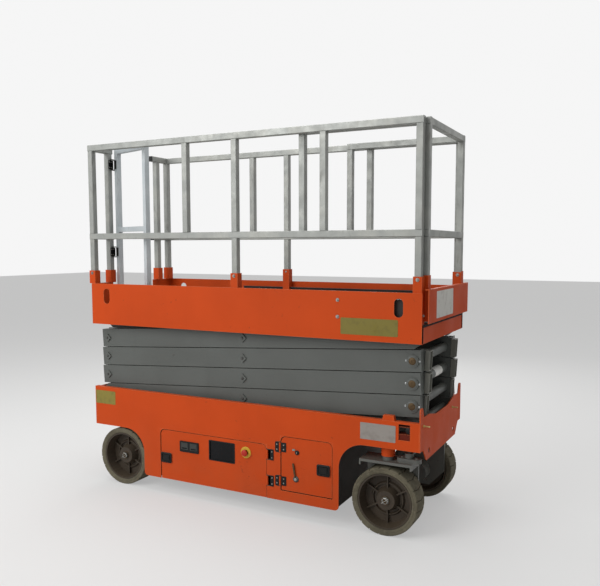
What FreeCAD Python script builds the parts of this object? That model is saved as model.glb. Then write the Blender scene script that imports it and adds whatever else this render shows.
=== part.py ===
import FreeCAD
import Part
import math
import os

# Electric slab scissor lift, stowed, millimetres.
# Origin on the ground under the middle of the platform.
# +X towards the steered wheels, -Y the side with the controls, +Z up.

# Lengths along X
platform_half_length = 1135.0
chassis_rear_inset = 3.0
chassis_front_inset = 1.0
rear_wheel_inset = 217.0
front_wheel_inset = 204.0
rear_arch_reach = 192.0
front_arch_reach = 266.0
arch_corner_r = 150.0
bay_rear_setback = 19.0
bay_front_setback = 24.0
door_post_x = 246.0
door_post_width = 102.0
rear_door_setback = 138.0
front_door_setback = 42.0
arm_rear_inset = 62.0
arm_front_inset = 68.0
rail_rear_overhang = 15.0
rail_front_inset = 10.0
extension_length = 782.0
extension_overhang = 33.0

# Widths along Y
chassis_half_width = 415.0
platform_side_overhang = 5.0
rail_side_inset = 10.0
side_plate_t = 6.0
track_depth = 53.0
arm_track_gap = 8.0
arm_pair_gap = 5.0
wheel_side_inset = 13.0
gateway_right_inset = 216.0
gateway_left_inset = 204.0

# Heights along Z
belly_z = 96.0
knuckle_over_tyre = 19.0
kingpin_boss_height = 75.0
deck_t = 8.0
side_over_deck = 130.0
front_arch_drop = 24.0
rear_arch_over_tyre = 11.0
pivot_over_deck = 82.6
arm_stack_gap = 5.2
floor_over_pivot = 79.6
skirt_below_floor = 102.0
skirt_over_floor = 166.0
toe_board_over_floor = 185.0
rail_over_floor = 1070.0
mid_rail_over_floor = 476.0

# Chassis sheet
sheet_t = 6.0
guide_block_inset = 139.0
guide_block_length = 70.0
guide_block_width = 27.0
guide_block_height = 28.0
guide_block_taper = 6.0
belly_corner_r = 25.0
top_flange_width = 30.0
front_tab_height = 80.0
front_tab_width = 62.0
front_tab_top = 44.0
front_tab_round = 17.0
front_shoulder_rise = 22.0
front_dip_depth = 5.0
front_dip_half = 120.0
front_shoulder_inset = 165.0
front_apron_drop = 95.0
front_apron_slope = 60.0
apron_over_wheel = 21.0
tie_down_r = 16.0
front_tie_down_inset = 46.0
front_tie_down_rise = 45.0
rear_tie_down_inset = 111.0
rear_tie_down_rise = 48.0
foothold_half_width = 130.0
foothold_height = 52.0
foothold_rises = (33.0, 168.0)
window_behind_pin = 53.0
window_ahead_of_pin = 11.0
window_below_pin = 51.6
window_above_pin = 35.4
bay_side_gap = 27.0
bay_floor_rise = 2.0
battery_inset = 64.0
battery_front_gap = 86.0
battery_y = 40.0
battery_side_gap = 49.0
battery_height = 276.0
hydraulic_inset = 204.0
hydraulic_front_gap = 80.0
hydraulic_y = 60.0
hydraulic_side_gap = 69.0
hydraulic_height = 226.0

# Wheels
wheel_r = 190.5
wheel_width = 127.0
tyre_wall_t = 34.5
wheel_sides = 36
tyre_lugs = 36
lug_half_deg = 3.5
lug_notch = 5.0
lug_width = 30.0
hub_ribs = 6
hub_rib_t = 8.0
hub_rib_height = 18.0
hub_edge_inset = 4.0
rim_band_t = 9.0
rim_band_foot = 22.0
hub_dish_depth = 68.0
hub_web_t = 22.0
hub_ring_r = 90.0
hub_ring_t = 9.0
hub_ring_height = 12.0
hub_boss_foot_r = 70.0
hub_boss_r = 52.0
hub_bore_wall = 4.0
spindle_r = 22.0
running_gap = 0.05
seat_gap = 0.2

# Axles and steering knuckles
hanger_t = 15.0
hanger_from_wheel = 70.0
hanger_top_half = 110.0
hanger_low_half = 60.0
hanger_drop = 55.0
drum_r = 80.0
drum_gap = 12.0
spindle_cap_gap = 22.0
axle_tube_r = 45.0
axle_beam_half = 32.0
axle_beam_depth = 38.0
knuckle_plate_t = 14.0
knuckle_plate_half = 150.0
knuckle_plate_half_width = 58.0
knuckle_lip_depth = 34.0
knuckle_lip_t = 8.0
knuckle_leg_t = 14.0
knuckle_foot_half = 60.0
knuckle_foot_drop = 95.0
knuckle_leg_gap = 8.0
kingpin_r = 20.0
kingpin_length = 80.0
kingpin_end_gap = 5.0
kingpin_collar_r = 31.0
kingpin_collar_height = 20.0
kingpin_boss_r = 38.0
kingpin_boss_gap = 3.0
motor_r = 62.0
motor_length = 86.0
tie_arm_reach = 120.0
tie_pad_r = 30.0
tie_pad_half_length = 38.0
tie_pad_height = 24.0
tie_rod_r = 12.0
tie_rod_lift = 2.0
tie_eye_half_height = 13.0
tie_pin_r = 9.0
tie_pin_show = 6.0
tie_eye_r = 24.0

# Scissor arms
levels = 4
arm_height = 118.0
arm_t = 50.0
arm_overhang = 45.0
nose_half_height = 30.0
nose_length = 42.0
pin_r = 20.0
shaft_r = 28.0
open_pivot_gap = 0.6
boss_r = 34.0
boss_t = 8.0
nut_half = 27.0
top_tube_s = 0.9
bracket_t = 12.0
bracket_gap = 6.0
hanger_plate_gap = 5.0

# Slide tracks
track_start_x = 40.0
track_web_t = 5.0
track_flange_t = 4.0
roller_r = 18.0
roller_gap = 0.5

# Lift cylinder: its two eyes as shares of an arm from the right pin, and square to the arm
cylinder_foot_s = 0.93
cylinder_foot_v = -20.0
cylinder_head_level = 3
cylinder_head_s = 0.26
cylinder_head_v = -36.0
head_tube_u = 35.0
head_tube_v = 30.0
barrel_r = 48.0
barrel_neck = 84.0
gland_r = 54.0
gland_length = 44.0
bore_end_wall = 30.0
rod_show = 60.0
rod_r = 28.0
eye_r = 38.0
eye_width = 50.0
eye_pin_r = 19.0
ear_t = 12.0
ear_gap = 5.0

# Platform
skirt_t = 4.0
floor_t = 5.0
slot_inset = 128.0
slot_below_edge = 82.0
slot_width = 50.0
slot_height = 100.0
stiffener_count = 5
stiffener_rear_gap = 170.0
stiffener_front_gap = 235.0
stiffener_width = 60.0
stiffener_depth = 30.0
stiffener_side_gap = 13.0

# Guard rails
tube = 38.0
tube_edge = 3.0
socket_height = 85.0
socket_wall = 5.0
socket_gap = 0.3
post_floor_gap = 2.0
hinge_post_offset = 46.0
latch_post_offset = 62.0
hinge_stub = 22.0
gateway_panel_edge = 24.0

# Roll-out deck
extension_lift = 7.0
extension_floor_t = 6.0
tread_t = 2.0
tread_margin = 10.0
toe_board_t = 4.0
toe_board_lip = 22.0
extension_gap = 11.0
pad_gap = 0.3
pad_length = 60.0
pad_half_width = 40.0
pad_side_inset = 82.0
pad_rear_inset = 20.0
pad_front_inset = 113.0

# Swing gate
gate_post_gap = 4.0
gate_latch_gap = 12.0
gate_hinge_r = 8.0
gate_pin_r = 5.0
gate_hinge_height = 60.0
gate_hinge_gap = 1.0
gate_leaf_t = 6.0
gate_lug_t = 6.0
gate_tube = 32.0
gate_open_deg = 108.0
gate_floor_gap = 11.0
gate_top_drop = 5.0
gate_mid_rise = 49.0
gate_low_hinge_drop = 103.0
gate_high_hinge_drop = 110.0

# Doors
door_t = 25.0
door_sheet_t = 4.0
door_face_inset = 4.0
door_corner_r = 30.0
door_hinge_inset = 1.0
door_hinge_out = 8.0
door_hinge_r = 5.5
door_pin_r = 3.0
door_strap = 12.0
hinge_lug_gap = 0.5
hinge_lug_t = 4.0
door_gap = 5.0
hinge_notch = 30.0
hinge_height = 56.0

# Fittings on the door faces
fitting_t = 4.0
latch_width = 83.0
latch_height = 66.0
window_lap = 5.0
display_from_rear = 149.0
display_width = 145.0
display_below_top = 55.0
display_height = 69.0
glass_from_rear = 374.0
glass_width = 182.0
glass_below_top = 26.0
glass_height = 119.0
stop_from_front = 141.0
stop_below_top = 65.0
stop_plate_r = 35.0
stop_plate_t = 6.0
stop_button_r = 20.0
stop_stem_r = 14.0
stop_reach = 20.0
key_from_rear = 104.0
key_below_top = 83.0
key_r = 12.0
key_reach = 8.0
lever_from_rear = 96.0
lever_over_low_edge = 77.0
lever_boss_r = 18.0
lever_boss_t = 12.0
lever_t = 4.0
lever_stand_off = 6.0
lever_length = 95.0
lever_width = 10.0
lever_lean_deg = 10.0

# Places worked out from the sizes above
chassis_rear_x = -platform_half_length + chassis_rear_inset
chassis_front_x = platform_half_length - chassis_front_inset
side_front_x = chassis_front_x - sheet_t
rear_wheel_x = chassis_rear_x + rear_wheel_inset
front_wheel_x = chassis_front_x - front_wheel_inset
rear_arch_x = rear_wheel_x + rear_arch_reach
front_arch_x = front_wheel_x - front_arch_reach
bay_rear_x = rear_arch_x + bay_rear_setback
bay_front_x = front_arch_x - bay_front_setback
node_left_x = chassis_rear_x + arm_rear_inset
node_right_x = chassis_front_x - arm_front_inset
rail_rear_x = -platform_half_length - rail_rear_overhang
rail_front_x = platform_half_length - rail_front_inset
rear_post_x = rail_rear_x + tube / 2
front_post_x = rail_front_x - tube / 2
extension_front_x = platform_half_length + extension_overhang
extension_rear_x = extension_front_x - extension_length
ext_rear_post_x = extension_rear_x + tube / 2
ext_front_post_x = extension_front_x - toe_board_lip - tube / 2

inner_wall_y = chassis_half_width - side_plate_t
track_outer_y = inner_wall_y
track_inner_y = track_outer_y - track_depth
outer_arm_y = track_inner_y - arm_track_gap - arm_t
inner_arm_y = outer_arm_y - arm_pair_gap - arm_t
rim_r = wheel_r - tyre_wall_t
wheel_outer_y = chassis_half_width - wheel_side_inset
wheel_inner_y = wheel_outer_y - wheel_width
kingpin_y = wheel_outer_y - wheel_width / 2
bay_side_y = inner_wall_y - bay_side_gap
platform_half_width = chassis_half_width + platform_side_overhang
rail_half_width = platform_half_width - rail_side_inset
rail_y = rail_half_width - tube / 2
ext_rail_y = rail_y - tube - extension_gap
gateway_low_y = -rail_half_width + gateway_right_inset
gateway_high_y = rail_half_width - gateway_left_inset
hinge_post_y = gateway_low_y - hinge_post_offset
latch_post_y = gateway_high_y + latch_post_offset
door_face_y = chassis_half_width - door_face_inset
door_hinge_y = chassis_half_width - door_hinge_inset

knuckle_plate_bottom_z = 2 * wheel_r + knuckle_over_tyre
knuckle_plate_top_z = knuckle_plate_bottom_z + knuckle_plate_t
kingpin_boss_z = knuckle_plate_top_z + kingpin_collar_height + kingpin_boss_gap
deck_under_z = kingpin_boss_z + kingpin_boss_height
deck_top_z = deck_under_z + deck_t
side_top_z = deck_top_z + side_over_deck
front_arch_top_z = deck_top_z - front_arch_drop
rear_arch_top_z = 2 * wheel_r + rear_arch_over_tyre
front_apron_z = deck_top_z - front_apron_drop
tie_rod_z = knuckle_plate_top_z + tie_pad_height + tie_rod_r + tie_rod_lift
node_base_z = deck_top_z + pivot_over_deck
node_pitch = arm_height + arm_stack_gap
floor_top_z = node_base_z + levels * node_pitch + floor_over_pivot
floor_under_z = floor_top_z - floor_t
skirt_bottom_z = floor_top_z - skirt_below_floor
skirt_top_z = floor_top_z + skirt_over_floor
rail_top_z = floor_top_z + rail_over_floor
rail_z = rail_top_z - tube / 2
mid_rail_z = floor_top_z + mid_rail_over_floor
extension_floor_z = floor_top_z + extension_lift
extension_top_z = extension_floor_z + extension_floor_t
extension_base_z = extension_top_z - tread_t
extension_toe_top_z = floor_top_z + toe_board_over_floor
gate_hinge_x = rail_rear_x + tube + gate_hinge_r
gate_hinge_y = gateway_low_y - gate_post_gap
gate_length = gateway_high_y - gate_latch_gap - gate_hinge_y
gate_hinge_heights = (mid_rail_z - gate_low_hinge_drop, rail_top_z - gate_high_hinge_drop)

node_run = node_right_x - node_left_x
arm_length = math.hypot(node_run, node_pitch)
rest_deg = math.degrees(math.atan2(node_pitch, node_run))
parts_dir = "parts"

door_table = [
    # name, rear x, front x, low z, high z, hinged at its front edge,
    # hinge heights over its low edge, latch middle from its free edge and over its low edge
    ("rear", rear_arch_x + rear_door_setback, door_post_x - door_post_width / 2,
     belly_z, deck_top_z - 104.0, True, (108.0, 266.0), (43.0, 141.0)),
    ("front", door_post_x + door_post_width / 2, front_arch_x - front_door_setback,
     belly_z + 65.0, deck_top_z - 41.0, False, (53.0, 255.0), (51.5, 155.5)),
]

mid_post_table = [
    # x, side (+1 left, -1 right), reaches down to a socket
    (-372.0, -1, False),
    (-17.0, -1, True),
    (559.0, -1, False),
    (-367.0, 1, False),
    (-91.0, 1, True),
    (523.0, 1, False),
]


# Shapes that the pieces are made of

def vec(x, y, z):
    return FreeCAD.Vector(x, y, z)


def box(x0, x1, y0, y1, z0, z1):
    return Part.makeBox(x1 - x0, y1 - y0, z1 - z0, vec(x0, y0, z0))


def rod(r, length, base, axis):
    return Part.makeCylinder(r, length, vec(*base), vec(*axis))


def cross_rod(r, x, z, y0, y1):
    return rod(r, y1 - y0, (x, y0, z), (0, 1, 0))


def plate_xz(points, y0, y1):
    wire = Part.makePolygon([vec(x, y0, z) for x, z in points + points[:1]])
    return Part.Face(wire).extrude(vec(0, y1 - y0, 0))


def plate_yz(points, x0, x1):
    wire = Part.makePolygon([vec(x0, y, z) for y, z in points + points[:1]])
    return Part.Face(wire).extrude(vec(x1 - x0, 0, 0))


def diamond(x, z, half, y0, y1):
    return plate_xz([(x - half, z), (x, z + half), (x + half, z), (x, z - half)], y0, y1)


def fuse(shapes):
    whole = shapes[0].multiFuse(shapes[1:]) if len(shapes) > 1 else shapes[0]
    return whole.removeSplitter()


def cut(shape, tools):
    for tool in tools:
        shape = shape.cut(tool)
    return shape


def mirror_y(shape):
    return shape.mirror(vec(0, 0, 0), vec(0, 1, 0))


def both_sides(shape):
    return [shape, mirror_y(shape)]


def save(name, shapes):
    solids = [solid for shape in shapes for solid in shape.Solids]
    whole = solids[0] if len(solids) == 1 else Part.makeCompound(solids)
    whole.exportStep(os.path.join(parts_dir, name + ".step"))


def square_tube(start, end):
    """A straight bar of the guard rail section between two points."""
    x0, y0, z0 = start
    x1, y1, z1 = end
    half = tube / 2
    grow = [0 if a != b else half for a, b in zip(start, end)]
    bar = box(min(x0, x1) - grow[0], max(x0, x1) + grow[0],
              min(y0, y1) - grow[1], max(y0, y1) + grow[1],
              min(z0, z1) - grow[2], max(z0, z1) + grow[2])
    along = vec(x1 - x0, y1 - y0, z1 - z0).normalize()
    long_edges = [e for e in bar.Edges if abs(abs(e.tangentAt(0).dot(along)) - 1) < 1e-6]
    return bar.makeChamfer(tube_edge, long_edges)


# Scissor geometry: node k of a side, and points along an arm

def node(k, right_side):
    return (node_right_x if right_side else node_left_x, node_base_z + k * node_pitch)


def inner_arm_point(level, s, v):
    """s runs from the low right pin to the high left pin, v is square to the arm, upwards."""
    x0, z0 = node(level - 1, True)
    x1, z1 = node(level, False)
    ux, uz = (x1 - x0) / arm_length, (z1 - z0) / arm_length
    return (x0 + ux * s * arm_length + uz * v, z0 + uz * s * arm_length - ux * v)


def beam(x, z, deg, y0, left_nose, right_nose, holes):
    """One arm beam from its left pin at x, z; holes are (distance from the left pin, radius)."""
    half = arm_height / 2
    end = arm_length + arm_overhang
    left = [(-arm_overhang, -half), (-arm_overhang, half)]
    right = [(end, half), (end, -half)]
    if left_nose:
        left = [(nose_length - arm_overhang, -half), (-arm_overhang, -nose_half_height),
                (-arm_overhang, nose_half_height), (nose_length - arm_overhang, half)]
    if right_nose:
        right = [(end - nose_length, half), (end, nose_half_height),
                 (end, -nose_half_height), (end - nose_length, -half)]
    shape = plate_xz(left + right, y0, y0 + arm_t)
    for along, r in holes:
        shape = shape.cut(cross_rod(r, along, 0, y0 - 1, y0 + arm_t + 1))
    shape.rotate(vec(0, 0, 0), vec(0, 1, 0), -deg)
    shape.translate(vec(x, 0, z))
    return shape


def roller_on_pin(x, z, face):
    """Stub pin from an arm's outer face with the roller that runs in the track."""
    end_y = track_outer_y - track_web_t - 1
    return [cross_rod(pin_r / 2, x, z, face - 1, end_y),
            cross_rod(roller_r, x, z, track_inner_y + 1, end_y)]


def outer_arm(level):
    """Two outer beams from the left pin up to the right shaft, with the middle pins."""
    x0, z0 = node(level - 1, False)
    x1, z1 = node(level, True)
    top = level == levels
    face = outer_arm_y + arm_t
    side = [beam(x0, z0, rest_deg, outer_arm_y, level == 1, top, [(0, pin_r + running_gap)])]
    xm, zm = (x0 + x1) / 2, (z0 + z1) / 2
    side.append(cross_rod(pin_r, xm, zm, inner_arm_y - boss_t, face))
    side.append(diamond(xm, zm, nut_half, face, face + boss_t))
    if top:
        side += roller_on_pin(x1, z1, face)
    else:
        side.append(cross_rod(boss_r, x1, z1, face, face + boss_t))
    halves = [piece for shape in side for piece in both_sides(shape)]
    halves.append(cross_rod(shaft_r, x1, z1, -outer_arm_y - 1, outer_arm_y + 1))
    return fuse(halves)


def inner_arm(level):
    """Two inner beams from the right node up to the left pins, joined by cross tubes."""
    xr, zr = node(level - 1, True)
    xl, zl = node(level, False)
    top = level == levels
    bottom = level == 1
    holes = [(arm_length / 2, pin_r + running_gap)]
    if not bottom:
        holes.append((arm_length, shaft_r + open_pivot_gap))
    if top:
        holes.append((0, pin_r + running_gap))
    side = [beam(xl, zl, -rest_deg, inner_arm_y, top, False, holes)]
    face = inner_arm_y + arm_t
    outer_face = outer_arm_y + arm_t
    if not top:
        side.append(cross_rod(pin_r, xl, zl, face - 1, outer_face + boss_t))
        side.append(diamond(xl, zl, nut_half, outer_face + 1, outer_face + boss_t))
    if bottom:
        side += roller_on_pin(xr, zr, face)
    halves = [piece for shape in side for piece in both_sides(shape)]
    tubes = [inner_arm_point(level, top_tube_s if top else 1.0, 0)]
    if bottom:
        tubes.append((xr, zr))
    if level == cylinder_head_level:
        tubes.append(inner_arm_point(level, cylinder_head_s + head_tube_u / arm_length, head_tube_v))
    for x, z in tubes:
        halves.append(cross_rod(shaft_r, x, z, -inner_arm_y - 1, inner_arm_y + 1))
    if bottom:
        foot = inner_arm_point(level, cylinder_foot_s, cylinder_foot_v)
        halves += cylinder_ears(tubes[0], foot, True)
    if level == cylinder_head_level:
        head = inner_arm_point(level, cylinder_head_s, cylinder_head_v)
        halves += cylinder_ears(tubes[-1], head, False)
    return fuse(halves)


def cylinder_ears(tube_xz, eye_xz, with_pin):
    """Two ears from a cross tube out to an eye of the lift cylinder."""
    (xt, zt), (xe, ze) = tube_xz, eye_xz
    span = math.hypot(xe - xt, ze - zt)
    nx, nz = -(ze - zt) / span, (xe - xt) / span
    outline = [(xt + nx * eye_r, zt + nz * eye_r), (xe + nx * eye_r, ze + nz * eye_r),
               (xe - nx * eye_r, ze - nz * eye_r), (xt - nx * eye_r, zt - nz * eye_r)]
    y0 = eye_width / 2 + ear_gap
    ear = fuse([plate_xz(outline, y0, y0 + ear_t),
                cross_rod(eye_r, xt, zt, y0, y0 + ear_t),
                cross_rod(eye_r, xe, ze, y0, y0 + ear_t)])
    if not with_pin:
        ear = ear.cut(cross_rod(eye_pin_r + running_gap, xe, ze, y0 - 1, y0 + ear_t + 1))
        return both_sides(ear)
    pin = cross_rod(eye_pin_r, xe, ze, -y0 - 1, y0 + 1)
    return both_sides(ear) + [pin]


def lift_cylinder():
    """Barrel and rod, built along +X from the foot eye and then tilted into place."""
    xf, zf = inner_arm_point(1, cylinder_foot_s, cylinder_foot_v)
    xh, zh = inner_arm_point(cylinder_head_level, cylinder_head_s, cylinder_head_v)
    span = math.hypot(xh - xf, zh - zf)
    tilt = math.degrees(math.atan2(zh - zf, xh - xf))
    half_eye = eye_width / 2
    barrel_start = eye_r + barrel_neck
    barrel_end = span - eye_r - rod_show
    neck_half = 0.8 * eye_r
    barrel = fuse([cross_rod(eye_r, 0, 0, -half_eye, half_eye),
                   box(0, barrel_start, -half_eye, half_eye, -neck_half, neck_half),
                   rod(barrel_r, barrel_end - gland_length - barrel_start, (barrel_start, 0, 0), (1, 0, 0)),
                   rod(gland_r, gland_length, (barrel_end - gland_length, 0, 0), (1, 0, 0))])
    bore_start = barrel_start + bore_end_wall
    barrel = cut(barrel, [cross_rod(eye_pin_r + running_gap, 0, 0, -half_eye - 1, half_eye + 1),
                          rod(rod_r + running_gap, barrel_end - bore_start + 1, (bore_start, 0, 0), (1, 0, 0))])
    rod_start = bore_start + 10
    piston = fuse([rod(rod_r, span - eye_r / 2 - rod_start, (rod_start, 0, 0), (1, 0, 0)),
                   cross_rod(eye_r, span, 0, -half_eye, half_eye)])
    for shape in (barrel, piston):
        shape.rotate(vec(0, 0, 0), vec(0, 1, 0), -tilt)
        shape.translate(vec(xf, 0, zf))
    return barrel, piston


# Chassis

def side_outline():
    """Side plate outline: wheel arches cut in from both ends, straight belly between."""
    k = 1 - math.sqrt(0.5)
    ar, br = arch_corner_r, belly_corner_r
    fx, fz = front_arch_x, front_arch_top_z
    rx, rz = rear_arch_x, rear_arch_top_z

    def p(x, z):
        return vec(x, 0, z)

    def line(x0, z0, x1, z1):
        return Part.makeLine(p(x0, z0), p(x1, z1))

    def arc(start, middle, end):
        return Part.Arc(p(*start), p(*middle), p(*end)).toShape()

    edges = [
        line(chassis_rear_x, side_top_z, side_front_x, side_top_z),
        line(side_front_x, side_top_z, side_front_x, fz),
        line(side_front_x, fz, fx + ar, fz),
        arc((fx + ar, fz), (fx + ar * k, fz - ar * k), (fx, fz - ar)),
        line(fx, fz - ar, fx, belly_z + br),
        arc((fx, belly_z + br), (fx - br * k, belly_z + br * k), (fx - br, belly_z)),
        line(fx - br, belly_z, rx + br, belly_z),
        arc((rx + br, belly_z), (rx + br * k, belly_z + br * k), (rx, belly_z + br)),
        line(rx, belly_z + br, rx, rz - ar),
        arc((rx, rz - ar), (rx - ar * k, rz - ar * k), (rx - ar, rz)),
        line(rx - ar, rz, chassis_rear_x, rz),
        line(chassis_rear_x, rz, chassis_rear_x, side_top_z),
    ]
    return Part.Wire(edges)


def side_plate():
    """Left side plate at +Y with its folded top flange, door openings and roller window."""
    face = Part.Face(side_outline())
    plate = face.extrude(vec(0, side_plate_t, 0))
    plate.translate(vec(0, inner_wall_y, 0))
    flange = box(chassis_rear_x, side_front_x, chassis_half_width - top_flange_width,
                 chassis_half_width, side_top_z - side_plate_t, side_top_z)
    plate = fuse([plate, flange, guide_block()])

    def opening(x0, x1, z0, z1):
        return box(x0, x1, inner_wall_y - 1, chassis_half_width + 1, z0, z1)

    tools = []
    for name, x0, x1, z0, z1, front_hinge, hinges, latch in door_table:
        low = z0 - door_gap if z0 > belly_z else z0 - 1
        tools.append(opening(x0 - door_gap, x1 + door_gap, low, z1 + door_gap))
        edge = x1 if front_hinge else x0 - hinge_notch
        half = hinge_height / 2 + door_gap
        for rise in hinges:
            tools.append(opening(edge, edge + hinge_notch, z0 + rise - half, z0 + rise + half))
    tools.append(opening(*roller_window()))
    return cut(plate, tools)


def guide_block():
    """Low block on the top flange beside the lowest arms, narrower at its top."""
    x1 = side_front_x - guide_block_inset
    x0 = x1 - guide_block_length
    top_z = side_top_z + guide_block_height
    outline = [(x0, side_top_z), (x1, side_top_z), (x1 - guide_block_taper, top_z),
               (x0 + guide_block_taper, top_z)]
    return plate_xz(outline, chassis_half_width - top_flange_width,
                    chassis_half_width - top_flange_width + guide_block_width)


def roller_window():
    """Sight hole beside the roller of the bottom inner arm: x from, x to, z from, z to."""
    return (node_right_x - window_behind_pin, node_right_x + window_ahead_of_pin,
            node_base_z - window_below_pin, node_base_z + window_above_pin)


def slide_track(x0, x1, z, top_z):
    """Channel on the left side that a roller runs in, open towards the middle."""
    half = roller_r + roller_gap
    web = box(x0, x1, track_outer_y - track_web_t, track_outer_y, z - half - track_flange_t, top_z)
    low = box(x0, x1, track_inner_y, track_outer_y, z - half - track_flange_t, z - half)
    high = box(x0, x1, track_inner_y, track_outer_y, z + half, z + half + track_flange_t)
    return fuse([web, low, high])


def chassis_track():
    """Track of the bottom inner arm, standing on the deck, with the roller window through its web."""
    z = node_base_z
    half = roller_r + roller_gap
    track = slide_track(track_start_x, side_front_x, z, z + half + track_flange_t)
    foot = box(track_start_x, side_front_x, track_outer_y - track_web_t, track_outer_y, deck_top_z, z)
    x0, x1 = roller_window()[:2]
    window = box(x0, x1, track_outer_y - track_web_t - 1, track_outer_y + 1, z - half, z + half)
    return fuse([track, foot]).cut(window)


def pivot_bracket():
    """Left pair of plates with the pin that carries the lowest outer arm."""
    x, z = node(0, False)
    low_y = outer_arm_y - bracket_gap - bracket_t
    high_y = outer_arm_y + arm_t + bracket_gap
    outline = [(x - 45, deck_top_z), (x + 60, deck_top_z), (x + 30, z + pin_r + 6), (x + 14, z + 2 * pin_r),
               (x - 14, z + 2 * pin_r), (x - 30, z + pin_r + 6)]
    plates = [plate_xz(outline, y0, y0 + bracket_t) for y0 in (low_y, high_y)]
    pin = cross_rod(pin_r, x, z, low_y, high_y + bracket_t + 10)
    return fuse(plates + [pin])


def front_plate():
    """End plate over the steered wheels: raised corner tabs, a shallow dip between them."""
    w = chassis_half_width
    tab_z = side_top_z + front_tab_height
    shoulder_z = side_top_z + front_shoulder_rise
    dip_z = side_top_z - front_dip_depth
    shoulder_y = w - front_shoulder_inset
    half_top = [(0, dip_z), (front_dip_half, dip_z), (shoulder_y, shoulder_z),
                (w - front_tab_width, shoulder_z), (w - front_tab_top, tab_z), (w, tab_z)]
    apron = wheel_inner_y + apron_over_wheel
    half_low = [(w, front_arch_top_z), (apron + front_apron_slope, front_arch_top_z),
                (apron, front_apron_z)]
    right = half_top[1:] + half_low
    left = [(-y, z) for y, z in reversed(right)]
    plate = plate_yz(left + right, side_front_x, chassis_front_x)
    tab_tops = [e for e in plate.Edges
                if abs(e.tangentAt(0).x) > 0.99 and e.CenterOfMass.z > tab_z - 1]
    plate = plate.makeFillet(front_tab_round, tab_tops)
    return cut(plate, tie_down_holes(side_front_x, apron - front_tie_down_inset,
                                     front_apron_z + front_tie_down_rise))


def tie_down_holes(x, y, z):
    return [rod(tie_down_r, 3 * sheet_t, (x - sheet_t, side, z), (1, 0, 0)) for side in (-y, y)]


def rear_plate():
    """Rear end plate with tie-down holes and two foothold slots."""
    plate = box(chassis_rear_x, chassis_rear_x + sheet_t, -inner_wall_y, inner_wall_y, rear_arch_top_z,
                side_top_z - side_plate_t)
    tools = tie_down_holes(chassis_rear_x, inner_wall_y - rear_tie_down_inset,
                           rear_arch_top_z + rear_tie_down_rise)
    for rise in foothold_rises:
        z = rear_arch_top_z + rise
        tools.append(box(chassis_rear_x - 1, chassis_rear_x + sheet_t + 1, -foothold_half_width,
                         foothold_half_width, z, z + foothold_height))
    return cut(plate, tools)


def chassis_deck():
    return box(chassis_rear_x + sheet_t, side_front_x, -inner_wall_y, inner_wall_y,
               deck_under_z, deck_top_z)


def bay_walls():
    """Tray of the two equipment bays: a floor and a bulkhead at each end, under the deck."""
    low = belly_z + bay_floor_rise
    floor = box(bay_rear_x, bay_front_x, -bay_side_y, bay_side_y, low, low + sheet_t)
    pieces = [floor]
    for x in (bay_rear_x, bay_front_x - sheet_t):
        pieces.append(box(x, x + sheet_t, -inner_wall_y, inner_wall_y, belly_z + belly_corner_r, deck_under_z))
        pieces.append(box(x, x + sheet_t, -bay_side_y, bay_side_y, low, deck_under_z))
    return fuse(pieces)


def battery_block():
    low = belly_z + bay_floor_rise + sheet_t
    return box(bay_rear_x + battery_inset, door_post_x - battery_front_gap, battery_y,
               inner_wall_y - battery_side_gap, low, low + battery_height)


def hydraulic_block():
    low = belly_z + bay_floor_rise + sheet_t
    return box(bay_rear_x + hydraulic_inset, bay_front_x - hydraulic_front_gap,
               -inner_wall_y + hydraulic_side_gap, -hydraulic_y, low, low + hydraulic_height)


def front_axle():
    """Beam across the front with a kingpin boss hanging under the deck at each end."""
    x = front_wheel_x
    z0 = kingpin_boss_z
    depth = knuckle_plate_top_z + kingpin_length + kingpin_end_gap - z0
    pieces = [box(x - axle_beam_half, x + axle_beam_half, -kingpin_y, kingpin_y,
                  deck_under_z - axle_beam_depth, deck_under_z)]
    bores = []
    for y in (-kingpin_y, kingpin_y):
        pieces.append(rod(kingpin_boss_r, kingpin_boss_height, (x, y, z0), (0, 0, 1)))
        bores.append(rod(kingpin_r + running_gap, depth + 1, (x, y, z0 - 1), (0, 0, 1)))
    return cut(fuse(pieces), bores)


def rear_axle():
    """Two hanger plates under the deck with a cross tube, brake drums and wheel spindles."""
    x, z = rear_wheel_x, wheel_r
    outer = wheel_inner_y - hanger_from_wheel
    inner = outer - hanger_t
    hanger = plate_xz([(x - hanger_top_half, deck_under_z), (x - hanger_low_half, z - hanger_drop),
                       (x + hanger_low_half, z - hanger_drop), (x + hanger_top_half, deck_under_z)],
                      inner, outer)
    side = [hanger,
            cross_rod(drum_r, x, z, outer, wheel_inner_y - drum_gap),
            cross_rod(spindle_r, x, z, outer, wheel_outer_y - spindle_cap_gap)]
    halves = [piece for shape in side for piece in both_sides(shape)]
    halves.append(cross_rod(axle_tube_r, x, z, -inner, inner))
    return fuse(halves)


# Wheels and knuckles, built for the left side at +Y

def on_wheel(x, y, r, angle):
    """Point at a radius from the axle; angle 0 is straight down, at the ground."""
    return vec(x + r * math.sin(angle), y, wheel_r - r * math.cos(angle))


def wheel_ring(x, y, r):
    step = 2 * math.pi / wheel_sides
    return [on_wheel(x, y, r, i * step) for i in range(wheel_sides)]


def wheel_prism(points, y0, y1):
    return Part.Face(Part.makePolygon(points + points[:1])).extrude(vec(0, y1 - y0, 0))


def turned(x, section):
    """Body round the axle in wheel_sides flat facets; section is a closed list of (radius, y)."""
    rings = [wheel_ring(x, y, r) for r, y in section]
    faces = []
    for near, far in zip(rings, rings[1:] + rings[:1]):
        for i in range(wheel_sides):
            k = (i + 1) % wheel_sides
            faces.append(Part.Face(Part.makePolygon([near[i], near[k], far[k], far[i], near[i]])))
    shell = Part.makeShell(faces)
    shell.sewShape()
    solid = Part.Solid(shell)
    if solid.Volume < 0:
        solid.reverse()
    return solid.removeSplitter()


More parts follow.
